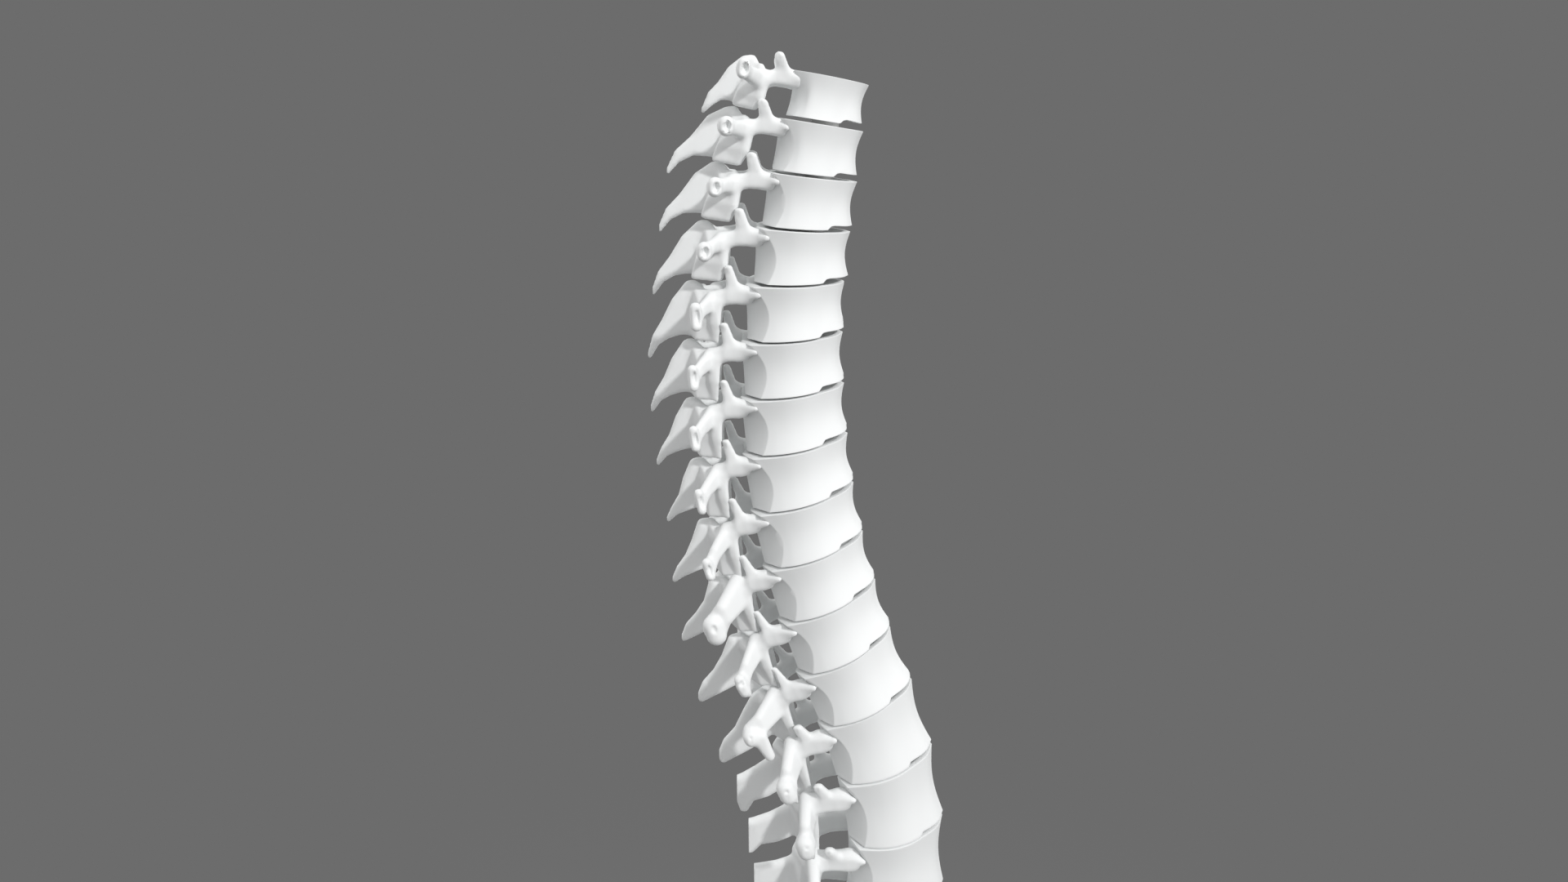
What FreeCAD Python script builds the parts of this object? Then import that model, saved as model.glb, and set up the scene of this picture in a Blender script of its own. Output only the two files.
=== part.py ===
import FreeCAD, Part
import math
import os

# Spine model: twelve thoracic and five lumbar vertebrae, a sacrum and a coccyx, threaded on
# a bent steel rod. +Z is up, -Y is the front of the body and +X its left side.
# All lengths are in millimetres and all angles in degrees.
# In a vertebra's own frame x goes to the left, a to the front and h up, from the body's centre.

V = FreeCAD.Vector

# The levels from the top of the column, and the numbers that the size stations go by
THORACIC = ["t%02d" % (count + 1) for count in range(12)]
LUMBAR = ["l%d" % (count + 1) for count in range(5)]
LEVELS = THORACIC + LUMBAR
T1, T2, T3, T4, T5, T6, T7, T8, T9, T10, T11, T12 = range(12)
L1, L2, L3, L4, L5, S1 = range(12, 18)

# Posture: how far each level's front leans down, and how far the column's line leans off it
LEAN = {T1: 9.8, T3: 5.9, T5: -1.8, T7: -6.2, T9: -14.0, T12: -23.8, L1: -18.0, L3: -3.1, L5: 20.0, S1: 46.0}
LINE_OFFSET = {T2: 0.0, T3: 0.0, T4: 4.0, T5: 6.5, T6: 4.0, T7: 3.0, T12: 3.0, L1: 0.0}

# Vertebral bodies: height at the sides, depth from the front to the side edge, width
BODY_HEIGHT = {T1: 16.4, T2: 19.0, T5: 21.2, T8: 23.0, T11: 24.9, T12: 27.6, L1: 33.0, L2: 36.2, L5: 34.0}
BODY_DEPTH = {T1: 29.0, T2: 31.4, T5: 36.6, T8: 40.0, T12: 41.7, L1: 42.0, L5: 40.0}
BODY_WIDTH = {T1: 32.0, T2: 36.0, T5: 43.5, T9: 44.5, T12: 43.0, L1: 42.0, L5: 46.0}
EDGE_X = {T1: 13.0, T2: 15.0, T5: 18.6, T8: 19.6, T12: 17.5, L1: 17.5, L5: 19.0}
BACK_DEPTH = {T1: 1.8, T2: 4.0, T5: 5.8, T8: 7.4, T12: 6.0, L5: 6.0}
WAIST = 0.07
GAP = 1.0
TOP_GAP = 1.6
FRONT_STEP = 2.0
STEP_A = 0.36
DISH_DEPTH = 0.9
DISH_RIM = 0.84
DISH_FLOOR = 0.72

# Pedicles: half width, half height, centre height and distance from the middle
PEDICLE_HALF_X = {T1: 2.4, T5: 3.2, T12: 3.6, L1: 4.2, L3: 4.4, L5: 4.8}
PEDICLE_HALF_H = {T1: 2.2, T5: 3.0, T12: 3.8, L1: 4.6, L5: 5.0}
PEDICLE_H = {T1: 4.4, T2: 5.6, T5: 7.4, T8: 8.0, T12: 7.4, L1: 7.6, L5: 8.0}
PEDICLE_X = {T1: 9.2, T2: 10.4, T5: 12.8, T12: 12.8, L1: 13.0, L5: 17.0}
WEDGE_REACH = 0.6

# Pillar behind the pedicle, where the lamina and the processes start
PILLAR_A = {T1: -26.5, T2: -29.5, T4: -33.4, T5: -34.8, T8: -35.8, T12: -37.4, L1: -38.8, L3: -41.5, L5: -44.5}
PILLAR_X = {T1: 12.5, T5: 12.5, T12: 11.5, L1: 12.4, L3: 13.5, L5: 16.0}

# Laminae: where they meet at the middle, their edges and their thickness
LAMINA_A = {T1: -34.0, T2: -38.0, T5: -45.5, T8: -46.5, T12: -49.0, L1: -49.5, L3: -51.0, L5: -53.0}
LAMINA_TOP = {T1: 9.0, T2: 9.4, T5: 9.6, T8: 8.8, T12: 5.6, L1: 2.0, L5: 1.0}
LAMINA_FOOT = {T1: -7.6, T2: -9.0, T5: -10.6, T8: -11.0, T11: -14.0, T12: -15.5, L1: -16.5, L3: -15.0, L5: -12.0}
LAMINA_LEAN = {T1: 10.0, T5: 15.0, T12: 12.0, L1: 8.0, L5: 8.0}
LAMINA_HALF = {T1: 1.9, T5: 2.1, T12: 2.4, L1: 2.8, L5: 3.0}

# Upper joint processes: the tip's place, and the finger's half sizes across and front to back
UPPER_TIP_A = {T1: -22.2, T2: -25.5, T5: -29.4, T8: -31.4, T12: -34.0, L1: -34.8, L3: -35.5, L5: -36.5}
UPPER_TIP_H = {T1: 13.9, T2: 16.0, T5: 20.2, T8: 21.8, T12: 22.4, L1: 20.4, L2: 19.8, L3: 17.6, L4: 13.2,
               L5: 11.0}
UPPER_TIP_X = {T1: 14.0, T5: 15.0, T8: 15.0, T12: 12.5, L1: 15.4, L3: 18.2, L4: 20.5, L5: 24.0}
UPPER_HALF_X = {T1: 2.6, T5: 2.7, T12: 2.4, L1: 2.6, L5: 3.4}
UPPER_TAPER = [(0, 1.1, 1.3), (0.34, 1.0, 0.9), (0.66, 1.0, 0.68), (0.92, 0.86, 0.52), (1, 0.5, 0.3)]
UPPER_HALF_A = {T1: 2.5, T5: 3.2, T12: 3.2, L1: 3.4, L5: 3.8}

# Lower joint processes: the tip's place, and the blade's half sizes across and front to back
LOWER_TIP_A = {T1: -29.5, T2: -32.5, T5: -38.4, T8: -39.8, T11: -41.6, T12: -44.2, L1: -43.8, L3: -47.0, L5: -48.5}
LOWER_TIP_H = {T1: -9.6, T2: -11.2, T5: -12.4, T8: -14.5, T11: -17.9, T12: -19.8, L1: -21.8, L2: -22.8, L3: -19.6,
               L4: -15.6, L5: -13.5}
LOWER_TIP_X = {T1: 9.5, T5: 10.5, T8: 11.0, T12: 8.2, L1: 8.2, L3: 9.2, L5: 11.5}
LOWER_HALF_X = {T1: 3.4, T5: 3.4, T8: 2.8, T12: 2.5, L1: 2.8, L5: 3.2}
LOWER_TAPER = [(0, 1.0, 1.5), (0.35, 1.05, 1.2), (0.7, 1.0, 1.0), (0.92, 0.8, 0.75), (1, 0.45, 0.4)]
LOWER_HALF_A = {T1: 2.3, T5: 2.5, T8: 2.2, T12: 2.2, L1: 2.7, L5: 3.2}

# Transverse processes: the knob's place and half sizes, and the shaft's half sizes at its neck
KNOB_X = {T1: 29.5, T5: 28.0, T10: 27.5, T12: 27.5, L1: 31.0, L3: 33.0, L5: 35.0}
KNOB_A = {T1: -34.6, T2: -38.0, T5: -42.5, T8: -45.4, T10: -48.0, T12: -50.0, L1: -47.5, L3: -43.5, L5: -40.0}
KNOB_H = {T1: 4.8, T5: 2.0, T8: 0.3, T10: -1.5, T12: -2.0, L1: -1.5, L3: -3.5, L5: 0.0}
KNOB_HALF_A = {T1: 3.1, T3: 3.4, T5: 2.6, T8: 2.3, T9: 3.0, T10: 4.6, T11: 3.0, T12: 3.6, L1: 4.4, L5: 4.6}
KNOB_HALF_H = {T1: 3.2, T3: 3.8, T5: 5.2, T8: 6.2, T10: 6.2, T11: 4.4, T12: 5.0, L1: 5.8, L5: 5.0}
SHAFT_HALF_A = {T1: 2.3, T5: 2.4, T12: 3.0, L1: 3.4, L5: 3.8}
SHAFT_HALF_H = {T1: 2.3, T5: 3.4, T8: 4.2, T12: 4.0, L1: 4.0, L5: 4.2}
DIMPLE_DEPTH = 0.7
DIMPLE_SHARE = 0.62
FOOT_TIP_H = -13.5
FOOT_HALF = 2.3

# Spinous processes: five stations from root to tip, each a place a, a top edge, a bottom edge
# and a half thickness
KEEL = {
    T1: [(-35.0, 10.8, -7.4, 2.4), (-39.5, 6.4, -6.8, 1.9), (-43.0, 0.0, -7.4, 1.7), (-46.4, -4.4, -10.4, 1.4),
         (-48.8, -12.0, -13.6, 0.8)],
    T2: [(-39.0, 11.2, -9.0, 2.5), (-45.0, 7.6, -8.8, 2.0), (-51.0, -1.2, -9.2, 1.8), (-56.8, -7.6, -13.0, 1.5),
         (-60.0, -15.6, -17.8, 0.8)],
    T5: [(-46.0, 12.4, -10.2, 2.7), (-52.0, 5.8, -10.4, 2.2), (-57.0, -2.6, -11.8, 1.9), (-61.6, -9.2, -14.6, 1.6),
         (-64.8, -17.4, -20.0, 0.8)],
    T8: [(-47.5, 11.4, -10.8, 2.8), (-52.0, 5.0, -11.2, 2.2), (-56.0, -2.8, -11.8, 1.9), (-60.6, -8.0, -12.9, 1.6),
         (-64.4, -13.0, -15.4, 0.9)],
    T10: [(-50.0, 10.6, -12.0, 2.8), (-56.0, 1.6, -13.0, 2.3), (-62.0, -3.4, -13.8, 2.1), (-68.0, -7.2, -15.0, 1.9),
          (-72.4, -12.4, -15.8, 1.2)],
    T12: [(-50.0, 7.6, -15.0, 3.0), (-57.0, 2.0, -17.4, 2.4), (-64.5, -4.8, -18.8, 2.3), (-72.0, -8.6, -19.6, 2.6),
          (-77.6, -14.0, -20.4, 2.0)],
    L1: [(-50.0, 1.4, -16.8, 3.2), (-55.0, -1.0, -19.0, 2.6), (-62.0, -3.4, -21.0, 2.5), (-69.0, -5.2, -20.6, 3.4),
         (-74.0, -6.6, -25.4, 3.8)],
    L3: [(-51.5, 1.2, -15.4, 3.2), (-55.5, -0.6, -17.0, 2.6), (-61.5, -2.4, -18.0, 2.6), (-68.6, -3.4, -17.6, 3.4),
         (-74.0, -4.2, -20.6, 3.9)],
    L5: [(-53.5, 0.6, -12.0, 3.4), (-57.0, -0.8, -12.6, 2.8), (-60.5, -2.0, -13.0, 2.8), (-65.0, -3.0, -13.6, 3.4),
         (-69.0, -4.4, -14.4, 3.2)],
}

# Rod, the spacers on it, and the nuts that clamp the stack at its ends
ROD_R = 2.5
ROD_CLEARANCE = 0.15
SPACER_R = 5.5
SPACER_CLEARANCE = 0.35
BEND_SHARE = 0.42
ROD_KNEE_DEPTH = 17.0
ROD_FOOT_LENGTH = 75.0
SPIGOT_R = 2.0
SPIGOT_LENGTH = 30.0
NUT_ACROSS_FLATS = 8.0
NUT_HEIGHT = 3.2
NUT_CLEARANCE = 0.1
NUT_POCKET_R = 7.0
NUT_POCKET_DEPTH = 4.8
LOWER_NUT_DROP = 17.0
WASHER_R = 6.0
WASHER_THICKNESS = 1.0

# Sacrum: five fused segments along a curve; widths and depths at the top and each joint line
SACRUM_SEGMENTS = 5
SACRUM_LENGTHS = [30.0, 25.0, 21.0, 18.0, 15.0]
SACRUM_WIDTHS = [47.0, 40.0, 33.0, 27.0, 22.0, 17.0]
SACRUM_DEPTHS = [42.0, 30.0, 22.0, 17.0, 13.0, 10.0]
SACRUM_TURN = -6.5
SACRUM_WAIST = 0.92
FORAMEN_R = 3.6
CREST_HALF = 2.4
# Wing stations: place along the curve, outer reach, half depth, place front to back
WING_STATIONS = [(0.04, 56.0, 15.0, -8.0), (0.7, 50.0, 14.0, -8.0), (1.5, 40.0, 10.5, -6.0),
                 (2.5, 29.0, 7.6, -4.0), (3.5, 22.0, 5.6, -2.5), (4.4, 15.0, 4.2, -1.5)]
# Back wall stations: place along the curve, half width, place and half depth, and the crest's reach
BACK_STATIONS = [(0.28, 21.0, -33.0, 3.4, -40.0), (0.8, 19.0, -29.0, 3.4, -42.0), (1.4, 17.0, -24.0, 3.2, -34.0),
                 (2.0, 15.0, -20.0, 3.0, -32.0), (2.6, 13.0, -16.0, 2.8, -23.0), (3.2, 11.0, -13.0, 2.6, -20.0),
                 (4.0, 9.0, -9.5, 2.4, -13.0)]
# Canal stations: place along the curve, place front to back, half width, half depth
CANAL_STATIONS = [(-0.3, -27.0, 14.0, 6.5), (0.6, -22.5, 11.0, 5.0), (1.6, -16.5, 8.0, 3.6), (2.6, -11.5, 5.0, 2.4)]

# Coccyx and the pin that carries it
COCCYX_LENGTHS = [11.0, 8.5, 7.0, 5.5]
COCCYX_WIDTH = 19.0
COCCYX_DEPTH = 10.0
COCCYX_CURVE = 0.009
COCCYX_GAP = 0.8
COCCYX_PIN_R = 1.5
COCCYX_PIN_LENGTH = 12.0
PIN_CLEARANCE = 0.05


def at_level(stations, level):
    """The value at a level, in a straight line between the stations on either side of it."""
    keys = sorted(stations)
    if level <= keys[0]:
        return stations[keys[0]]
    if level >= keys[-1]:
        return stations[keys[-1]]
    upper = max(key for key in keys if key <= level)
    lower = min(key for key in keys if key > level)
    share = (level - upper) / (lower - upper)
    return blend(stations[upper], stations[lower], share)


def blend(first, second, share):
    """Numbers, or lists of numbers, mixed by a share from 0 to 1."""
    if isinstance(first, (list, tuple)):
        return [blend(one, two, share) for one, two in zip(first, second)]
    return first + (second - first) * share


def local(x, a, h):
    """A point in a vertebra's own frame."""
    return V(x, -a, h)


def up_at(lean):
    """The upward direction of a level that leans down in front by this angle."""
    return V(0, -math.sin(math.radians(lean)), math.cos(math.radians(lean)))


def placed(shape, centre, lean):
    """The shape moved from a vertebra's own frame to its place in the column."""
    moved = shape.copy()
    moved.Placement = FreeCAD.Placement(centre, FreeCAD.Rotation(V(1, 0, 0), lean))
    return moved


def ring(centre, along_u, along_v, half_u, half_v, squareness=2.3):
    """A closed eight-sided section whose corners lie between an ellipse and a rectangle."""
    corners = []
    for step in range(8):
        turn = math.pi * step / 4
        reach_u = math.copysign(abs(math.cos(turn)) ** (2 / squareness), math.cos(turn)) * half_u
        reach_v = math.copysign(abs(math.sin(turn)) ** (2 / squareness), math.sin(turn)) * half_v
        corners.append(centre + along_u * reach_u + along_v * reach_v)
    return Part.makePolygon(corners + corners[:1])


def limb(sections):
    """A solid through eight-sided sections, with a straight run from each to the next."""
    return Part.makeLoft(sections, True, True)


def flat_ring(x, a, h, half_x, half_a, squareness=2.3):
    """A section that lies level, for a process that stands up or hangs down."""
    return ring(local(x, a, h), V(1, 0, 0), V(0, -1, 0), half_x, half_a, squareness)


def side_ring(x, a, h, half_a, half_h, squareness=2.3):
    """A section that faces sideways, for a process that points out."""
    return ring(local(x, a, h), V(0, -1, 0), V(0, 0, 1), half_a, half_h, squareness)


def front_ring(x, a, h, half_x, half_h, squareness=2.3):
    """A section that faces forwards, for a process that runs front to back."""
    return ring(local(x, a, h), V(1, 0, 0), V(0, 0, 1), half_x, half_h, squareness)


def mirrored(shape):
    """The same shape on the other side of the middle plane."""
    return shape.mirror(V(0, 0, 0), V(1, 0, 0))


def column():
    """Centre and lean of each vertebra, then of the sacrum's top, and the gap under each vertebra."""
    leans = [at_level(LEAN, level) for level in range(len(LEVELS) + 1)]
    halves = [at_level(BODY_HEIGHT, level) / 2 for level in range(len(LEVELS))] + [0]
    centres = [V(0, 0, 0)]
    gaps = []
    for level in range(1, len(LEVELS) + 1):
        mean = (leans[level] + leans[level - 1]) / 2
        tilt = math.cos(math.radians(leans[level] - mean))
        opening = TOP_GAP if level == T2 else GAP
        offset = at_level(LINE_OFFSET, level)
        step_down = up_at(mean + offset) * (-1 / math.cos(math.radians(offset)))
        above = centres[-1] + step_down * (halves[level - 1] * tilt)
        below = above + step_down * opening
        centres.append(below + step_down * (halves[level] * tilt))
        gaps.append({"centre": (above + below) / 2, "lean": mean, "opening": opening, "tilt": tilt})
    return list(zip(centres, leans)), gaps


class Body:
    """The sizes of one vertebral body and the slopes of its two ends."""

    def __init__(self, level, lean, top_mean, foot_mean):
        self.half_depth = at_level(BODY_DEPTH, level) / 2
        self.half_width = at_level(BODY_WIDTH, level) / 2
        self.height = at_level(BODY_HEIGHT, level)
        self.edge_x = at_level(EDGE_X, level)
        self.back = at_level(BACK_DEPTH, level)
        self.top_slope = math.tan(math.radians(lean - top_mean))
        self.foot_slope = math.tan(math.radians(lean - foot_mean))

    def h_at(self, share, a):
        """The height of a section, a share of the way up, at a place front to back."""
        foot = -self.height / 2 + self.foot_slope * a
        top = self.height / 2 + self.top_slope * a
        return foot + (top - foot) * share

    def outline(self, share, scale, rise=0.0):
        """A section's closed outline: round sides and front, chamfers and a hollow back."""
        swell = math.sin(math.pi * share)
        half_a = self.half_depth
        half_x = self.half_width
        edge_a = -half_a + blend(1.4, -1.2, share) + 3.2 * swell
        edge_x = self.edge_x * (0.95 + 0.05 * swell)
        back_a = -half_a - self.back * (0.72 + 0.28 * swell)
        back_x = min(self.edge_x - 1.5, 0.55 * half_x)
        side = [(edge_x, edge_a), (half_x * 0.985, -0.62 * half_a), (half_x, -0.30 * half_a),
                (half_x * 0.93, 0.04 * half_a), (half_x * 0.70, 0.44 * half_a), (half_x * 0.37, 0.84 * half_a)]

        def point(x, a):
            centre_a = -0.12 * half_a
            a = centre_a + (a - centre_a) * scale
            return local(x * scale, a, self.h_at(share, a) + rise)

        front = [point(x, a) for x, a in side] + [point(0, half_a)] + [point(-x, a) for x, a in reversed(side)]
        sweep = Part.BSplineCurve()
        sweep.interpolate(front)
        wall = Part.BSplineCurve()
        hollow = 0.12 * back_x
        wall.interpolate([point(-back_x, back_a), point(-back_x * 0.5, back_a + hollow * 0.8),
                          point(0, back_a + hollow), point(back_x * 0.5, back_a + hollow * 0.8),
                          point(back_x, back_a)])
        edges = [sweep.toShape(), Part.LineSegment(front[-1], point(-back_x, back_a)).toShape(), wall.toShape(),
                 Part.LineSegment(point(back_x, back_a), front[0]).toShape()]
        return Part.Wire(edges)

    def solid(self):
        """The waisted body with its dished ends and the step under its front."""
        shares = [0.0, 0.2, 0.5, 0.8, 1.0]
        outlines = [self.outline(share, 1 - WAIST * math.sin(math.pi * share)) for share in shares]
        body = Part.makeLoft(outlines, True, False)
        top_dish = limb([self.outline(1, DISH_RIM, 0.5), self.outline(1, DISH_FLOOR, -DISH_DEPTH)])
        foot_dish = limb([self.outline(0, DISH_RIM, -0.5), self.outline(0, DISH_FLOOR, DISH_DEPTH)])
        return body.cut([top_dish, foot_dish, self.front_step()])

    def front_step(self):
        """The wedge of space that lifts the front of the lower rim."""
        reach = self.half_width + 2
        start_a = STEP_A * self.half_depth
        end_a = self.half_depth + 3
        profile = [(start_a, -3), (start_a, 0), (start_a + 1.6, FRONT_STEP), (end_a, FRONT_STEP + 0.4), (end_a, -3)]
        corners = [local(-reach, a, self.h_at(0, a) + rise) for a, rise in profile]
        return Part.Face(Part.makePolygon(corners + corners[:1])).extrude(V(2 * reach, 0, 0))


def dish_cut(top, lean):
    """The dish in the sacrum's top, like the ones in the vertebral bodies."""
    half_x = SACRUM_WIDTHS[0] / 2
    half_a = SACRUM_DEPTHS[0] / 2
    dish = limb([flat_ring(0, 0, 0.5, half_x * DISH_RIM, half_a * DISH_RIM, 2.5),
                 flat_ring(0, 0, -DISH_DEPTH, half_x * DISH_FLOOR, half_a * DISH_FLOOR, 2.5)])
    return placed(dish, top, lean)


def pedicle(level, body):
    """One pedicle, from the pointed wedge on the body's side back to the pillar."""
    half_x = at_level(PEDICLE_HALF_X, level)
    half_h = at_level(PEDICLE_HALF_H, level)
    h = at_level(PEDICLE_H, level)
    x = at_level(PEDICLE_X, level)
    pillar_a = at_level(PILLAR_A, level)
    pillar_x = at_level(PILLAR_X, level)
    back_a = -body.half_depth - body.back
    tip_a = -body.half_depth + WEDGE_REACH
    tip_x = body.edge_x - 2.6
    sections = [front_ring(tip_x, tip_a, h + half_h * 0.1, 0.6, 0.7)]
    sections.append(front_ring((tip_x + x) / 2 + 0.6, (tip_a + back_a) / 2, h + 0.2, half_x * 0.9, half_h * 0.75))
    sections.append(front_ring(x, back_a, h, half_x, half_h))
    sections.append(front_ring((x + pillar_x) / 2, (back_a + pillar_a) / 2, h - 0.2, half_x * 0.9, half_h))
    sections.append(front_ring(pillar_x, pillar_a - 1.0, h - 1.5, half_x * 0.9, half_h * 1.2))
    return limb(sections)


def upper_process(level, body):
    """One upper joint process, a finger that stands on the back end of the pedicle."""
    base_h = at_level(PEDICLE_H, level)
    tip_h = at_level(UPPER_TIP_H, level)
    tip_a = at_level(UPPER_TIP_A, level)
    tip_x = at_level(UPPER_TIP_X, level)
    half_x = at_level(UPPER_HALF_X, level)
    half_a = at_level(UPPER_HALF_A, level)
    base_x = at_level(PEDICLE_X, level)
    base_a = tip_a + 0.42 * (-body.half_depth - body.back - tip_a) + 1.2
    sections = []
    for share, grow_x, grow_a in UPPER_TAPER:
        x = blend(base_x, tip_x, share)
        a = blend(base_a, tip_a, share ** 0.9)
        sections.append(flat_ring(x, a, blend(base_h, tip_h, share), half_x * grow_x, half_a * grow_a))
    return limb(sections)


def lower_process(level):
    """One lower joint process, a blade that hangs from the pillar."""
    pillar_x = at_level(PILLAR_X, level)
    pillar_a = at_level(PILLAR_A, level)
    tip_x = at_level(LOWER_TIP_X, level)
    tip_a = at_level(LOWER_TIP_A, level)
    tip_h = at_level(LOWER_TIP_H, level)
    half_x = at_level(LOWER_HALF_X, level)
    half_a = at_level(LOWER_HALF_A, level)
    top_h = at_level(PEDICLE_H, level) - 2
    sections = []
    for share, grow_x, grow_a in LOWER_TAPER:
        x = blend(pillar_x, tip_x, share)
        a = blend(pillar_a - 1.0, tip_a, share ** 0.8)
        sections.append(flat_ring(x, a, blend(top_h, tip_h, share), half_x * grow_x, half_a * grow_a))
    return limb(sections)


def lamina(level):
    """The two laminae, one curved wall from pillar to pillar behind the canal."""
    pillar_x = at_level(PILLAR_X, level)
    pillar_a = at_level(PILLAR_A, level) - 1.5
    middle_a = at_level(LAMINA_A, level)
    top = at_level(LAMINA_TOP, level)
    foot = at_level(LAMINA_FOOT, level)
    thick = at_level(LAMINA_HALF, level)
    lean = math.tan(math.radians(at_level(LAMINA_LEAN, level)))
    stations = [(0.98, 0.0, 0.8), (0.96, 0.34, 0.92), (0.62, 0.74, 1.0), (0.0, 1.0, 1.0)]
    half_path = [(pillar_x * across, blend(pillar_a, middle_a, back), tall) for across, back, tall in stations]
    path = half_path + [(-x, a, tall) for x, a, tall in reversed(half_path[:-1])]
    sections = []
    for index, (x, a, tall) in enumerate(path):
        before = path[max(index - 1, 0)]
        after = path[min(index + 1, len(path) - 1)]
        along = V(after[0] - before[0], -(after[1] - before[1]), 0)
        across = V(-along.y, along.x, 0).normalize()
        upright = V(0, -lean, 1)
        centre = local(x, a, (top + foot) / 2)
        sections.append(ring(centre, across, upright, thick, (top - foot) / 2 * tall, 2.8))
    return limb(sections)


def transverse_process(level):
    """One transverse process: a shaft from the pillar to a knob with a dimple in its end."""
    pillar_x = at_level(PILLAR_X, level)
    pillar_a = at_level(PILLAR_A, level)
    x = at_level(KNOB_X, level)
    a = at_level(KNOB_A, level)
    h = at_level(KNOB_H, level)
    knob_a = at_level(KNOB_HALF_A, level)
    knob_h = at_level(KNOB_HALF_H, level)
    shaft_a = at_level(SHAFT_HALF_A, level)
    shaft_h = at_level(SHAFT_HALF_H, level)
    root_h = at_level(PEDICLE_H, level) - shaft_h * 0.9
    root_a = pillar_a - 2.0
    neck_x = x - 3.4
    sections = [side_ring(pillar_x - 2, root_a, root_h, shaft_a * 1.3, shaft_h * 1.5)]
    sections.append(side_ring(blend(pillar_x, x, 0.3), blend(root_a, a, 0.4), blend(root_h, h, 0.35),
                              shaft_a * 1.05, shaft_h * 1.1))
    sections.append(side_ring(neck_x - 1.5, blend(root_a, a, 0.88), blend(root_h, h, 0.85), shaft_a, shaft_h))
    sections.append(side_ring(neck_x + 1.2, a, h, knob_a * 0.96, knob_h * 0.96))
    sections.append(side_ring(x - 0.9, a, h, knob_a, knob_h))
    sections.append(side_ring(x, a, h, knob_a * 0.8, knob_h * 0.84))
    shaft = limb(sections)
    if level == T12:
        foot = limb([flat_ring(neck_x + 1, a + 0.6, h, FOOT_HALF, FOOT_HALF),
                     flat_ring(neck_x, a + 1.8, blend(h, FOOT_TIP_H, 0.6), FOOT_HALF * 0.9, FOOT_HALF * 0.9),
                     flat_ring(neck_x - 0.6, a + 2.4, FOOT_TIP_H, FOOT_HALF * 0.9, FOOT_HALF)])
        shaft = shaft.fuse(foot)
    dimple = limb([side_ring(x + 0.5, a, h, knob_a * 0.7, knob_h * 0.7),
                   side_ring(x - DIMPLE_DEPTH, a, h, knob_a * DIMPLE_SHARE * 0.6, knob_h * DIMPLE_SHARE * 0.6)])
    return shaft.cut(dimple)


def spinous_process(level):
    """The keel behind the laminae, deep at its root and pointed or squared at its tip."""
    sections = []
    for a, top, foot, half in at_level(KEEL, level):
        sections.append(front_ring(0, a, (top + foot) / 2, half, (top - foot) / 2, 2.6))
    return limb(sections)


def vertebra(level, places, gaps, rod_bore):
    """One whole vertebra as a single solid in its place, bored for the rod."""
    centre, lean = places[level]
    top_lean = gaps[level - 1]["lean"] if level > 0 else lean
    body = Body(level, lean, top_lean, gaps[level]["lean"])
    side = [pedicle(level, body), upper_process(level, body), lower_process(level), transverse_process(level)]
    pieces = side + [mirrored(piece) for piece in side] + [lamina(level), spinous_process(level)]
    whole = placed(body.solid().fuse(pieces), centre, lean)
    return whole.cut(rod_bore)


def rod_route(places, gaps):
    """The corners of the rod's line, from its top end through the bodies' centres to its foot."""
    centres = [centre for centre, lean in places]
    first_run = (centres[0] - centres[1]).normalize()
    top = centres[0] + first_run * (at_level(BODY_HEIGHT, T1) / 2 - NUT_POCKET_DEPTH + WASHER_THICKNESS + NUT_HEIGHT)
    knee = centres[-1] - up_at(gaps[-1]["lean"]) * ROD_KNEE_DEPTH
    foot = knee - V(0, 0, ROD_FOOT_LENGTH)
    return [top] + centres[1:-1] + [knee, foot]


def bar_along(route, radius):
    """A round bar along a route: straight runs joined by tangent arcs at the corners."""
    edges = []
    at = route[0]
    for index in range(1, len(route) - 1):
        corner = route[index]
        arriving = (corner - route[index - 1]).normalize()
        leaving = (route[index + 1] - corner).normalize()
        turn = arriving.getAngle(leaving)
        shorter = min((corner - route[index - 1]).Length, (route[index + 1] - corner).Length)
        cut_back = BEND_SHARE * shorter
        enter = corner - arriving * cut_back
        leave = corner + leaving * cut_back
        inwards = (leaving - arriving).normalize()
        bulge = cut_back / math.tan(turn / 2) * (1 / math.cos(turn / 2) - 1)
        edges.append(Part.LineSegment(at, enter).toShape())
        edges.append(Part.Arc(enter, corner + inwards * bulge, leave).toShape())
        at = leave
    edges.append(Part.LineSegment(at, route[-1]).toShape())
    disc = Part.Wire([Part.Circle(route[0], route[1] - route[0], radius).toShape()])
    return Part.Wire(edges).makePipeShell([disc], True, False)


def washer(base, axis, radius, bore_r, thickness):
    """A flat ring that stands on base along axis."""
    ring_solid = Part.makeCylinder(radius, thickness, base, axis)
    return ring_solid.cut(Part.makeCylinder(bore_r, thickness + 2, base - axis, axis))


def spacer(gap):
    """The ring between two bodies, seated on the floors of their dished ends."""
    axis = up_at(gap["lean"])
    thickness = gap["opening"] + 2 * DISH_DEPTH * gap["tilt"]
    bore_r = ROD_R + SPACER_CLEARANCE
    return washer(gap["centre"] - axis * (thickness / 2), axis, SPACER_R, bore_r, thickness)


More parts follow.
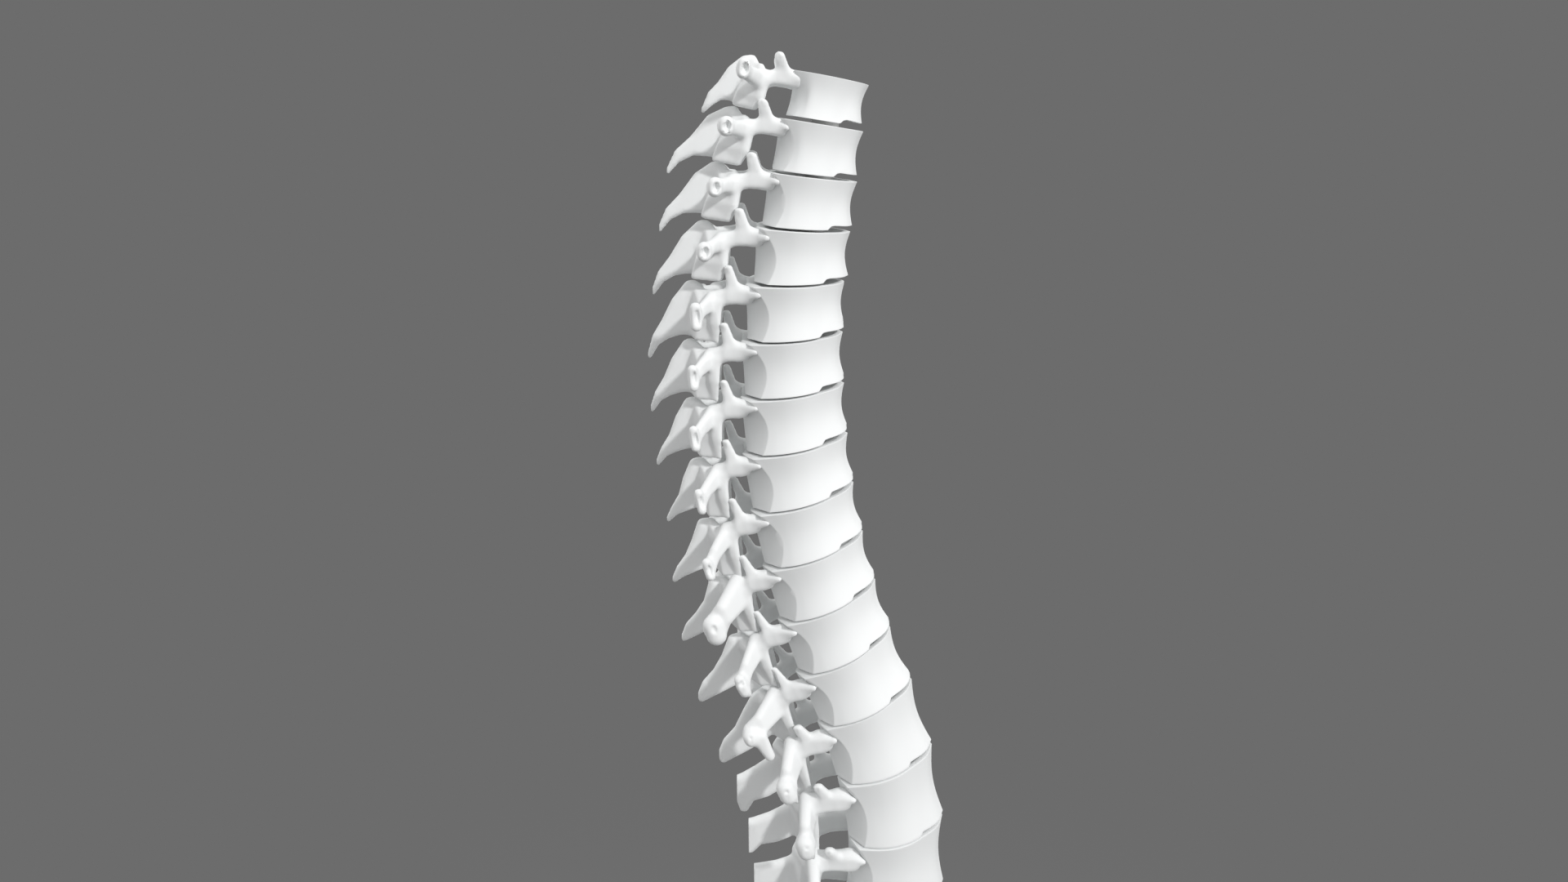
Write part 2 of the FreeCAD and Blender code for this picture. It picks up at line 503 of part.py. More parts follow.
def nut(base, axis):
    """A hexagon nut that stands on base along axis."""
    to_corner = NUT_ACROSS_FLATS / math.sqrt(3)
    corners = [V(to_corner * math.cos(math.pi * k / 3), to_corner * math.sin(math.pi * k / 3), 0) for k in range(7)]
    body = Part.Face(Part.makePolygon(corners)).extrude(V(0, 0, NUT_HEIGHT))
    chamfer = Part.makeCone(to_corner + 1.0, to_corner - 1.0, 2.0, V(0, 0, NUT_HEIGHT - 1.2))
    body = body.common(Part.makeCylinder(to_corner + 1.0, NUT_HEIGHT - 1.2).fuse(chamfer))
    body = body.cut(Part.makeCylinder(ROD_R + NUT_CLEARANCE, NUT_HEIGHT))
    body.Placement = FreeCAD.Placement(base, FreeCAD.Rotation(V(0, 0, 1), axis))
    return body


class Sacrum:
    """The fused sacral segments, laid along a curve that is hollow in front."""

    def __init__(self, top, lean):
        self.stations = [(top, lean)]
        for length in SACRUM_LENGTHS:
            at, angle = self.stations[-1]
            next_angle = angle + SACRUM_TURN
            at = at - up_at((angle + next_angle) / 2) * length
            self.stations.append((at, next_angle))

    def at(self, share):
        """Centre and lean at a place along the curve, counted in segments from the top."""
        index = min(int(share), SACRUM_SEGMENTS - 1)
        first, second = self.stations[index], self.stations[index + 1]
        part = share - index
        return first[0] + (second[0] - first[0]) * part, blend(first[1], second[1], part)

    def size(self, sizes, share):
        """A size between the stations it is given at."""
        index = min(int(share), SACRUM_SEGMENTS - 1)
        return blend(sizes[index], sizes[index + 1], share - index)

    def section(self, share, x, a, half_x, half_a, squareness=2.3):
        """A section across the curve."""
        centre, lean = self.at(share)
        forward = V(0, -math.cos(math.radians(lean)), -math.sin(math.radians(lean)))
        return ring(centre + V(x, 0, 0) + forward * a, V(1, 0, 0), forward, half_x, half_a, squareness)

    def bodies(self):
        """The row of sacral bodies with a ridge at each joint line."""
        sections = []
        for step in range(2 * SACRUM_SEGMENTS + 1):
            share = step / 2
            waist = 1.0 if step % 2 == 0 else SACRUM_WAIST
            half_x = self.size(SACRUM_WIDTHS, share) / 2 * waist
            half_a = self.size(SACRUM_DEPTHS, share) / 2 * waist
            sections.append(self.section(share, 0, 0, half_x, half_a, 2.5))
        return limb(sections)

    def wing(self):
        """One side's wing, broad at the top and narrow at the foot."""
        sections = []
        for share, reach, half_a, a in WING_STATIONS:
            inner = self.size(SACRUM_WIDTHS, share) / 2 - 6
            sections.append(self.section(share, (inner + reach) / 2, a, (reach - inner) / 2, half_a, 2.5))
        return limb(sections)

    def back_wall(self):
        """The fused laminae behind the canal, with the crest of spines along the middle."""
        wall = []
        crest = []
        for share, half_x, a, half_a, crest_a in BACK_STATIONS:
            wall.append(self.section(share, 0, a, half_x, half_a, 2.6))
            crest.append(self.section(share, 0, (a + crest_a) / 2, CREST_HALF, (a - crest_a) / 2, 2.0))
        return limb(wall), limb(crest)

    def canal(self):
        """The canal that runs down behind the bodies."""
        return limb([self.section(share, 0, a, half_x, half_a, 2.2) for share, a, half_x, half_a in CANAL_STATIONS])

    def side_wall(self):
        """One side's wall of the canal, which ties the back wall to the wing."""
        sections = []
        for share, half_x, a, half_a, crest_a in BACK_STATIONS:
            front_a = -0.2 * self.size(SACRUM_DEPTHS, share)
            sections.append(self.section(share, half_x * 0.92, (front_a + a) / 2, half_x * 0.26, (front_a - a) / 2 + 1))
        return limb(sections)

    def joint_finger(self):
        """One of the two upper joint processes that meet the last lumbar vertebra."""
        centre, lean = self.stations[0]
        finger = limb([flat_ring(19.5, -27, -14, 4.5, 5.0), flat_ring(22, -28, -6, 4.6, 5.0),
                       flat_ring(23.5, -30, 1, 3.8, 4.0), flat_ring(24.5, -32, 7, 3.0, 2.4), flat_ring(24.6, -32.4, 8.5, 1.5, 1.2)])
        return placed(finger, centre, lean)

    def openings(self):
        """The pairs of holes between the segments, which run from front to back."""
        holes = []
        for joint in range(1, SACRUM_SEGMENTS):
            centre, lean = self.stations[joint]
            forward = V(0, -math.cos(math.radians(lean)), -math.sin(math.radians(lean)))
            radius = FORAMEN_R - 0.35 * (joint - 1)
            x = SACRUM_WIDTHS[joint] / 2 + radius * 0.55
            for side in (-1, 1):
                start = centre + V(side * x, 0, 0) - forward * 60
                holes.append(Part.makeCylinder(radius, 120, start, forward))
        return holes

    def solid(self, knee, rod_bore):
        """The whole sacrum, bored for the rod and its lower nut."""
        wall, crest = self.back_wall()
        sides = [self.wing(), self.side_wall(), self.joint_finger()]
        whole = self.bodies().fuse(sides + [mirrored(side) for side in sides] + [wall, crest])
        pocket_top = knee.z - LOWER_NUT_DROP
        pocket = Part.makeCylinder(NUT_POCKET_R, 80, V(knee.x, knee.y, pocket_top - 80))
        whole = whole.cut([self.canal(), pocket, rod_bore] + self.openings())
        return whole


def coccyx_frame(sacrum):
    """The place and lean of the coccyx's top."""
    centre, lean = sacrum.stations[-1]
    return centre - up_at(lean) * COCCYX_GAP, lean


def coccyx(sacrum, pin_bore):
    """Four small fused segments that go on along the sacrum's curve."""
    centre, lean = coccyx_frame(sacrum)
    sections = []
    h = 0
    for index, length in enumerate(COCCYX_LENGTHS):
        half_x = COCCYX_WIDTH / 2 * (1 - 0.22 * index)
        half_a = COCCYX_DEPTH / 2 * (1 - 0.17 * index)
        a = COCCYX_CURVE * h * h
        sections.append(flat_ring(0, a, h, half_x, half_a))
        waist_h = h - length * 0.6
        sections.append(flat_ring(0, COCCYX_CURVE * waist_h ** 2, waist_h, half_x * 0.74, half_a * 0.8))
        h -= length
    sections.append(flat_ring(0, COCCYX_CURVE * h * h, h, 2.0, 1.8))
    return placed(limb(sections), centre, lean).cut(pin_bore)


def main():
    os.makedirs("parts", exist_ok=True)
    places, gaps = column()
    route = rod_route(places, gaps)
    foot = route[-1]
    turned_off = washer(foot, V(0, 0, 1), ROD_R + 1, SPIGOT_R, SPIGOT_LENGTH)
    solids = {"core_rod": bar_along(route, ROD_R).cut(turned_off)}
    long_route = [route[0] + (route[0] - route[1]).normalize() * 20] + route[1:]
    rod_bore = bar_along(long_route, ROD_R + ROD_CLEARANCE)
    top_axis = (route[0] - route[1]).normalize()
    pocket_floor = route[0] - top_axis * (WASHER_THICKNESS + NUT_HEIGHT)
    for level, name in enumerate(LEVELS):
        solids["vertebra_" + name] = vertebra(level, places, gaps, rod_bore)
    pocket = Part.makeCylinder(NUT_POCKET_R, 20, pocket_floor, top_axis)
    solids["vertebra_t01"] = solids["vertebra_t01"].cut(pocket)
    for index, gap in enumerate(gaps):
        solids["spacer_%02d" % (index + 1)] = spacer(gap)
    solids["top_washer"] = washer(pocket_floor, top_axis, WASHER_R, ROD_R + ROD_CLEARANCE, WASHER_THICKNESS)
    solids["top_nut"] = nut(pocket_floor + top_axis * WASHER_THICKNESS, top_axis)
    knee = route[-2]
    sacrum = Sacrum(places[-1][0], gaps[-1]["lean"])
    tail_centre, tail_lean = coccyx_frame(sacrum)
    pin_axis = up_at(tail_lean)
    pin_foot = tail_centre - pin_axis * (COCCYX_PIN_LENGTH / 2)
    pin_bore = Part.makeCylinder(COCCYX_PIN_R + PIN_CLEARANCE, COCCYX_PIN_LENGTH, pin_foot, pin_axis)
    solids["sacrum"] = sacrum.solid(knee, rod_bore).cut(pin_bore).cut(
        dish_cut(places[-1][0], gaps[-1]["lean"]))
    solids["coccyx"] = coccyx(sacrum, pin_bore)
    solids["coccyx_pin"] = Part.makeCylinder(COCCYX_PIN_R, COCCYX_PIN_LENGTH, pin_foot, pin_axis)
    down = V(0, 0, -1)
    nut_top = V(knee.x, knee.y, knee.z - LOWER_NUT_DROP)
    solids["lower_washer"] = washer(nut_top, down, WASHER_R, ROD_R + ROD_CLEARANCE, WASHER_THICKNESS)
    solids["lower_nut"] = nut(nut_top + down * WASHER_THICKNESS, down)
    for name, solid in solids.items():
        solid = solid.copy()
        solid.translate(-foot)
        report = (name, len(solid.Solids), len(solid.Faces), round(solid.Volume), solid.isValid())
        print(*report, [round(v, 1) for v in (solid.BoundBox.YMin, solid.BoundBox.YMax, solid.BoundBox.ZMin,
                                              solid.BoundBox.ZMax)])
        solid.exportStep("parts/%s.step" % name)


main()
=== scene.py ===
import math

import bmesh
import bpy
import numpy as np
from bpy.props import FloatProperty, FloatVectorProperty, IntProperty, PointerProperty
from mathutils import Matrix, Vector, kdtree


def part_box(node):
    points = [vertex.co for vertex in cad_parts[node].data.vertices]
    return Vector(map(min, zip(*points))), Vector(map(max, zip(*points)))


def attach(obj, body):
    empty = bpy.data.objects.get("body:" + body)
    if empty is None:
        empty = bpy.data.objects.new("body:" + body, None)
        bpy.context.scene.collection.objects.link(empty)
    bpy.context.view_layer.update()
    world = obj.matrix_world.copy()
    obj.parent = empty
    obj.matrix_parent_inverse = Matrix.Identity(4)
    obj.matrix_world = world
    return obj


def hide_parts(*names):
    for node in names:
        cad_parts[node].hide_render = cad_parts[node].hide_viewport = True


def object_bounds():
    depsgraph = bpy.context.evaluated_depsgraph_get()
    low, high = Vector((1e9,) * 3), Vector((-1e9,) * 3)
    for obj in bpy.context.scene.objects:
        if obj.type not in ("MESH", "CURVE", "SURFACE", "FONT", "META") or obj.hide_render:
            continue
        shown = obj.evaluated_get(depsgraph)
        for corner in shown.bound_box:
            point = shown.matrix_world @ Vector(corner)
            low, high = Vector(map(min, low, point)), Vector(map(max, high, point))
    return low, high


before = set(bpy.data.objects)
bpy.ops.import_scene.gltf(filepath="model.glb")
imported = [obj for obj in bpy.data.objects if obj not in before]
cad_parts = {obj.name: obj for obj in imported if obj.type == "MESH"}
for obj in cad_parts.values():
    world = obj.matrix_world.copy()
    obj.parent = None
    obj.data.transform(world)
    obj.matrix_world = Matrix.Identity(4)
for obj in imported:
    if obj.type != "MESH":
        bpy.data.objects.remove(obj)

# Looks of a spine model: matt white vertebrae, sacrum and coccyx on a bent steel rod with
# nylon spacers. +Z is up, -Y is the front of the body and +X its left side.

bl_info = {
    "name": "Spine model looks",
    "version": (1, 0, 0),
    "blender": (4, 5, 0),
    "location": "3D View > Sidebar > Spine",
    "description": "Finishes the mouldings, spacers, rod and fasteners of a spine model",
    "category": "Object",
}

CAD_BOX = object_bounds()
MM = 0.001
THORACIC = ["t%02d" % (count + 1) for count in range(12)]
LUMBAR = ["l%d" % (count + 1) for count in range(5)]
SPACERS = ["spacer_%02d" % (count + 1) for count in range(17)]
FASTENERS = ["top_washer", "top_nut", "lower_washer", "lower_nut", "coccyx_pin"]


# Sizes and colours that a user would change

class MouldingSettings(bpy.types.PropertyGroup):
    """The white mouldings' colour and the rounding of their creases."""
    colour: FloatVectorProperty(name="Plastic colour", description="Colour of the white mouldings",
                                subtype="COLOR", size=3, min=0, max=1, default=(0.9, 0.905, 0.91))
    roughness: FloatProperty(name="Roughness", description="How matt the plastic is",
                             subtype="FACTOR", min=0, max=1, default=0.55)
    cells: IntProperty(name="Cell depth", min=5, max=8, default=7,
                       description="Fineness of the mesh that carries the sacrum's rounding")
    fill: FloatProperty(name="Cell fill", subtype="FACTOR", min=0.3, max=0.95, default=0.8,
                        description="Share of the cell grid that the sacrum takes up")
    passes: IntProperty(name="Rounding passes", min=0, max=80, default=24,
                        description="How far the sacrum's creases and facets are rounded")
    rim_radius: FloatProperty(name="Rim radius", description="Radius on the vertebral bodies' rims",
                              subtype="DISTANCE", unit="LENGTH", default=0.25 * MM)
    arch_cell: FloatProperty(name="Arch cell", description="Fineness of the arches' mesh",
                             subtype="DISTANCE", unit="LENGTH", default=0.75 * MM)
    arch_blend: FloatProperty(name="Arch blend",
                              description="Rounding where the arches' parts run together",
                              subtype="DISTANCE", unit="LENGTH", default=1.8 * MM)
    arch_passes: IntProperty(name="Arch passes", description="Rounding passes on the arches",
                             min=0, max=40, default=4)
    crisp_angle: FloatProperty(name="Crisp angle",
                               description="An outer edge sharper than this keeps its line",
                               subtype="ANGLE", unit="ROTATION", default=math.radians(62))
    crisp_reach: FloatProperty(name="Crisp reach",
                               description="Distance over which rounding starts beside a rim",
                               subtype="DISTANCE", unit="LENGTH", default=2.0 * MM)


class MetalSettings(bpy.types.PropertyGroup):
    """The rod's and fasteners' steel, and the rod's thread under the lower nut."""
    colour: FloatVectorProperty(name="Steel colour", description="Colour of the drawn steel",
                                subtype="COLOR", size=3, min=0, max=1, default=(0.56, 0.56, 0.57))
    roughness: FloatProperty(name="Roughness", description="How dull the steel is",
                             subtype="FACTOR", min=0, max=1, default=0.34)
    pitch: FloatProperty(name="Thread pitch",
                         description="Distance from one turn of the thread to the next",
                         subtype="DISTANCE", unit="LENGTH", default=0.8 * MM)
    thread_depth: FloatProperty(name="Thread depth", description="Height of the thread's ridge",
                                subtype="DISTANCE", unit="LENGTH", default=0.3 * MM)
    thread_length: FloatProperty(name="Thread length",
                                 description="Length of the threaded run under the lower nut",
                                 subtype="DISTANCE", unit="LENGTH", default=14 * MM)


class SpacerSettings(bpy.types.PropertyGroup):
    """The nylon rings between the vertebral bodies."""
    colour: FloatVectorProperty(name="Nylon colour", description="Colour of the spacer rings",
                                subtype="COLOR", size=3, min=0, max=1, default=(0.8, 0.8, 0.78))
    roughness: FloatProperty(name="Roughness", description="How matt the nylon is",
                             subtype="FACTOR", min=0, max=1, default=0.42)
    rounding: FloatProperty(name="Edge rounding", description="Radius on the rings' edges",
                            subtype="DISTANCE", unit="LENGTH", default=0.35 * MM)


class StageSettings(bpy.types.PropertyGroup):
    """The camera, floor and lamps."""
    camera_place: FloatVectorProperty(name="Camera place", description="Where the camera stands",
                                      subtype="TRANSLATION", unit="LENGTH", size=3,
                                      default=(-0.4424, 0.03712, 0.51534))
    camera_yaw: FloatProperty(name="Camera yaw", description="Turn of the camera from straight across",
                              subtype="ANGLE", unit="ROTATION", default=math.radians(-0.95))
    camera_pitch: FloatProperty(name="Camera pitch", description="How far the camera looks down",
                                subtype="ANGLE", unit="ROTATION", default=math.radians(16.6))
    lens: FloatProperty(name="Lens", description="Focal length of the camera in millimetres",
                        default=24.45)
    tone: FloatVectorProperty(name="Floor colour", description="Colour of the floor and the background",
                              subtype="COLOR", size=3, min=0, max=1, default=(0.15, 0.15, 0.15))
    floor_drop: FloatProperty(name="Floor drop", description="How far the floor lies under the object",
                              subtype="DISTANCE", unit="LENGTH", default=0.26)
    floor_clear: FloatProperty(name="Floor fade",
                               description="Radius at which the floor has become the background",
                               subtype="DISTANCE", unit="LENGTH", default=0.9)
    key_power: FloatProperty(name="Key power", description="Power of the main lamp in watts",
                             default=30.0)
    key_size: FloatProperty(name="Key size", description="Width of the main lamp",
                            subtype="DISTANCE", unit="LENGTH", default=0.16)
    fill_power: FloatProperty(name="Fill power", description="Power of the soft lamp behind in watts",
                              default=6.0)
    sky: FloatProperty(name="Sky strength", description="Strength of the even light from all round",
                       default=0.74)


# Meshes

MERGE_REACH = 0.002 * MM
CRISP_STEP = 0.4 * MM
CRISP_CORE = 0.25
PASS_STEPS = (0.55, -0.565)


def new_piece(name, mesh):
    """An object for a mesh, at the origin, in the scene."""
    piece = bpy.data.objects.new(name, mesh)
    bpy.context.scene.collection.objects.link(piece)
    return piece


def baked(piece, name):
    """The piece with its modifiers turned into a plain mesh."""
    bpy.context.view_layer.update()
    shown = piece.evaluated_get(bpy.context.evaluated_depsgraph_get())
    mesh = bpy.data.meshes.new_from_object(shown)
    mesh.name = name
    piece.modifiers.clear()
    piece.data = mesh
    return piece


def merged_copy(node):
    """A CAD node's mesh with its loose triangles joined into a closed skin."""
    skin = bmesh.new()
    skin.from_mesh(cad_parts[node].data)
    bmesh.ops.remove_doubles(skin, verts=skin.verts, dist=MERGE_REACH)
    return skin


def crisp_points(skin, crisp_angle):
    """Points along the outer edges that are sharper than an angle."""
    points = []
    for edge in skin.edges:
        if len(edge.link_faces) != 2 or not edge.is_convex or edge.calc_face_angle() < crisp_angle:
            continue
        first, second = edge.verts[0].co, edge.verts[1].co
        steps = max(1, math.ceil((second - first).length / CRISP_STEP))
        points += [first.lerp(second, step / steps) for step in range(steps + 1)]
    return points


def spread_over(points, places, reach):
    """For each place, 0 at the points and 1 from a reach away."""
    if not points:
        return np.ones(len(places))
    tree = kdtree.KDTree(len(points))
    for index, point in enumerate(points):
        tree.insert(point, index)
    tree.balance()
    away = np.array([tree.find(place)[2] for place in places])
    share = np.clip((away - CRISP_CORE * reach) / ((1 - CRISP_CORE) * reach), 0, 1)
    return share * share * (3 - 2 * share)


def relaxed(mesh, weights, passes):
    """Rounds a mesh without shrinking it: each pass moves the vertices in and then out again."""
    count = len(mesh.vertices)
    places = np.empty(count * 3)
    mesh.vertices.foreach_get("co", places)
    places = places.reshape(-1, 3)
    pairs = np.empty(len(mesh.edges) * 2, dtype=np.int64)
    mesh.edges.foreach_get("vertices", pairs)
    first, second = pairs.reshape(-1, 2).T
    ends = np.concatenate([first, second])
    others = np.concatenate([second, first])
    neighbours = np.maximum(np.bincount(ends, minlength=count), 1)
    for _ in range(passes):
        for step in PASS_STEPS:
            for axis in range(3):
                mean = np.bincount(ends, weights=places[others, axis], minlength=count) / neighbours
                places[:, axis] += weights * step * (mean - places[:, axis])
    mesh.vertices.foreach_set("co", places.ravel())
    mesh.update()


def rounded(skin, name, settings):
    """A closed skin with rounded creases and facets, and its rims kept crisp."""
    points = crisp_points(skin, settings.crisp_angle)
    mesh = bpy.data.meshes.new(name)
    skin.to_mesh(mesh)
    skin.free()
    piece = new_piece(name, mesh)
    cells = piece.modifiers.new("cells", "REMESH")
    cells.mode = "SHARP"
    cells.octree_depth = settings.cells
    cells.scale = settings.fill
    cells.sharpness = 1.0
    cells.use_remove_disconnected = False
    baked(piece, name)
    weights = spread_over(points, [vertex.co for vertex in piece.data.vertices], settings.crisp_reach)
    relaxed(piece.data, weights, settings.passes)
    piece.data.shade_smooth()
    return piece


# Forms of the vertebrae: sizes in millimetres at some levels, in each vertebra's own frame
# (x across, a towards the front, h up)

T1, T2, T3, T4, T5, T6, T7, T8, T9, T10, T11, T12, L1, L2, L3, L4, L5, S1 = range(18)
LEAN = {T1: 9.8, T3: 5.9, T5: -1.8, T7: -6.2, T9: -14.0, T12: -23.8, L1: -18.0, L3: -3.1, L5: 20.0,
        S1: 46.0}

# Bodies: overall sizes, and the place of the edge between the round side and the rear chamfer
BODY_HEIGHT = {T1: 16.4, T2: 19.0, T5: 21.2, T8: 23.0, T11: 24.9, T12: 27.6, L1: 33.0, L2: 36.2,
               L5: 34.0}
BODY_DEPTH = {T1: 29.0, T2: 31.4, T5: 36.6, T8: 40.0, T12: 41.7, L1: 42.0, L5: 40.0}
BACK_DEPTH = {T1: 1.8, T2: 4.0, T5: 6.6, T8: 8.4, T12: 7.4, L5: 7.0}
BODY_WIDTH = {T1: 32.0, T2: 36.0, T5: 43.5, T9: 44.5, T12: 43.0, L1: 42.0, L5: 46.0}
EDGE_X = {T1: 13.6, T2: 16.2, T4: 19.6, T5: 20.6, T8: 21.0, T12: 20.2, L1: 19.8, L5: 21.6}
EDGE_A_FOOT = 1.4
EDGE_A_RISE = 2.6
EDGE_A_SWELL = 3.2
# Shares that the edge's width and the rear face's depth lose at the ends
EDGE_PINCH = 0.05
BACK_PINCH = 0.28
BACK_HOLLOW = 0.12
# The outline from that edge to the front: shares of the half width and of the half depth
BODY_SIDE = ((0.985, -0.62), (1.0, -0.30), (0.93, 0.04), (0.70, 0.44), (0.37, 0.84), (0.0, 1.0))
SIDE_CUTS = 5
CHAMFER_CUTS = 5
CHAMFER_WIDTH = 5.0
BACK_SHARE = 0.42
WAIST = 0.095
WAIST_CENTRE = 0.12
# A low ridge down the rear chamfer: its height, how far it leans out and back, and its middle and
# reach as shares of the body's height
RIDGE = 0.7
RIDGE_X = 0.6
RIDGE_A = 0.8
RIDGE_SHARE = 0.58
RIDGE_SPAN = 0.42
# The step under the front: where it starts, its ramp, how far it closes again, and its height
STEP_A = 0.36
STEP_RAMP = 1.6
STEP_CLOSING = 0.5
FRONT_STEP = 1.9
# Rings that go down into a dished end: scale of the outline, and depth
DISH_RINGS = ((0.84, 0.0), (0.78, 0.6), (0.68, 0.95))
BODY_SHARES = (0, 0.03, 0.1, 0.2, 0.3, 0.4, 0.5, 0.58, 0.66, 0.76, 0.86, 0.94, 0.98, 1)
RIM_ANGLE = math.radians(26)
SHARP_ANGLE = math.radians(40)
TOP_STAND = 0.8
# The nut's pocket in the first body
POCKET_R = 7.0
POCKET_HEIGHT = 12.0
POCKET_RISE = 5.4
POCKET_CUTS = 48

# Pedicles, and the pillars behind them that carry the joint and transverse processes
PEDICLE_HALF_X = {T1: 2.2, T5: 2.6, T12: 3.0, L1: 3.8, L5: 4.2}
PEDICLE_HALF_H = {T1: 2.5, T5: 3.2, T12: 4.2, L1: 5.0, L5: 5.2}
PEDICLE_H = {T1: 4.8, T2: 6.0, T5: 7.4, T8: 8.0, T12: 7.4, L1: 7.6, L5: 8.0}
PEDICLE_X = {T1: 9.8, T2: 11.0, T5: 13.4, T12: 13.4, L1: 13.6, L5: 17.0}
PILLAR_A = {T1: -26.5, T2: -29.5, T4: -33.4, T5: -34.8, T8: -35.8, T12: -37.4, L1: -38.8, L3: -41.5,
            L5: -44.5}
PILLAR_X = {T1: 12.5, T5: 12.5, T12: 11.5, L1: 12.4, L3: 13.5, L5: 16.0}
PEDICLE_FILL = 0.9
PEDICLE_OVER = 0.4
WEDGE_R = 1.3

# Laminae: wall, place in the middle plane, and upper and lower edge there
ARCH_WALL = {T1: 3.8, T5: 3.6, T12: 3.8, L1: 4.6, L5: 5.0}
LAMINA_A = {T1: -34.0, T2: -38.0, T5: -45.5, T8: -46.5, T12: -49.0, L1: -49.5, L3: -51.0, L5: -53.0}
LAMINA_TOP = {T1: 9.0, T2: 9.4, T5: 9.6, T8: 8.8, T12: 5.6, L1: 2.0, L5: 1.0}
LAMINA_FOOT = {T1: -7.6, T2: -9.0, T5: -10.6, T8: -11.0, T11: -14.0, T12: -15.5, L1: -16.5,
               L3: -15.0, L5: -12.0}

# Upper joint processes: tip and radius
UPPER_TIP_A = {T1: -22.2, T2: -25.5, T5: -29.4, T8: -31.4, T12: -34.0, L1: -34.8, L3: -35.5,
               L5: -36.5}
UPPER_TIP_H = {T1: 13.9, T2: 16.0, T5: 20.2, T8: 21.8, T12: 22.4, L1: 20.4, L2: 19.8, L3: 17.6,
               L4: 13.2, L5: 11.0}
UPPER_TIP_X = {T1: 14.0, T5: 15.0, T8: 15.0, T12: 12.5, L1: 15.4, L3: 18.2, L4: 20.5, L5: 24.0}
UPPER_R = {T1: 1.7, T4: 1.8, T5: 1.5, T9: 1.4, T12: 1.3, L1: 2.0, L5: 2.6}
UPPER_BASE_R = 1.7
UPPER_SHARE = 0.42
UPPER_SPREAD = 3.0
UPPER_SPREAD_HIGH = 2.4
FACE_R = 1.3
FACE_SHARE = 0.76
FACE_LENGTH = 0.2

# Lower joint processes: tip, reach to the rear, radius, and how far the thin fold stands out
LOWER_TIP_A = {T1: -30.2, T2: -33.4, T4: -36.8, T5: -37.6, T8: -39.2, T11: -40.6, T12: -42.0,
               L1: -42.8, L3: -46.0, L5: -47.5}
LOWER_TIP_H = {T1: -9.6, T2: -11.2, T5: -12.4, T8: -14.5, T11: -17.9, T12: -19.8, L1: -21.8,
               L2: -22.8, L3: -19.6, L4: -15.6, L5: -13.5}
LOWER_TIP_X = {T1: 10.5, T5: 11.0, T8: 11.0, T12: 7.4, L1: 8.2, L3: 9.2, L5: 11.5}
LOWER_REACH = {T1: 6.0, T2: 8.0, T4: 9.0, T5: 6.0, T9: 5.0, T11: 4.0, T12: 3.0, L1: 3.0, L5: 4.0}
LOWER_R = {T1: 2.3, T4: 2.2, T5: 1.3, T9: 1.2, T12: 1.3, L1: 1.6, L5: 2.0}
FOLD_OUT = 2.4
FOLD_OUT_LOW = 1.4

# Transverse processes: the knob's place and half sizes, the limb's half sizes, and the dimple
KNOB_X = {T1: 29.5, T5: 28.0, T10: 27.5, T12: 27.5, L1: 31.0, L3: 33.0, L5: 35.0}
KNOB_A = {T1: -34.6, T2: -38.0, T5: -42.5, T8: -45.6, T9: -48.0, T10: -53.0, T11: -49.4, T12: -54.6,
          L1: -47.5, L3: -43.5, L5: -40.0}
KNOB_H = {T1: 4.8, T5: 1.4, T8: 0.0, T9: -3.0, T10: -4.2, T11: -4.0, T12: 0.2, L1: -3.8, L2: -4.7,
          L3: -5.0, L5: -1.0}
KNOB_HALF_A = {T1: 3.1, T2: 3.9, T4: 3.6, T5: 2.9, T6: 2.6, T8: 2.4, T9: 2.7, T10: 5.8, T11: 3.1,
               T12: 4.0, L1: 5.2, L5: 5.2}
KNOB_HALF_H = {T1: 4.4, T2: 4.5, T4: 4.6, T5: 6.4, T6: 6.0, T8: 6.2, T9: 5.8, T10: 8.0, T11: 6.2,
               T12: 4.8, L1: 7.2, L5: 6.2}
SHAFT_HALF_A = {T1: 2.4, T4: 2.2, T5: 1.8, T9: 2.2, T10: 3.4, T11: 2.2, T12: 2.7, L1: 3.1, L3: 3.1,
                L5: 3.4}
SHAFT_HALF_H = {T1: 3.2, T4: 3.0, T5: 3.2, T9: 3.8, T10: 6.4, T11: 4.6, T12: 5.8, L1: 6.4, L5: 6.0}
FOOT_TIP_H = -12.5
SHAFT_FILL = 0.92
KNOB_FILL = 0.96
ROOT_DROP = 2.4
# Shares of the way out, back and down at which the limb bends
ELBOW_X = 0.55
ELBOW_A = 0.6
ELBOW_H = 0.45
DIMPLE_RISE = 0.3
DIMPLE_HALF_A = {T1: 1.25, T4: 1.35, T5: 1.1, T9: 0.9, T10: 1.3, T12: 0.8, L1: 0.9, L5: 0.9}
DIMPLE_HALF_H = {T1: 2.3, T4: 2.3, T5: 3.4, T9: 2.8, T10: 2.2, T12: 1.1, L1: 1.1, L5: 1.1}
DIMPLE_DEPTH = {T1: 3.4, T4: 3.2, T5: 2.6, T9: 2.2, T10: 1.5, T12: 1.1, L1: 1.1, L5: 1.1}
HOLLOW_BLEND = 0.3

# The part of a vertebra's own frame that an arch can take up, and its overlap with the body
ARCH_SIDE = 40
ARCH_BACK = -82
ARCH_FOOT = -30
ARCH_TOP = 26
ARCH_OVERLAP = 8

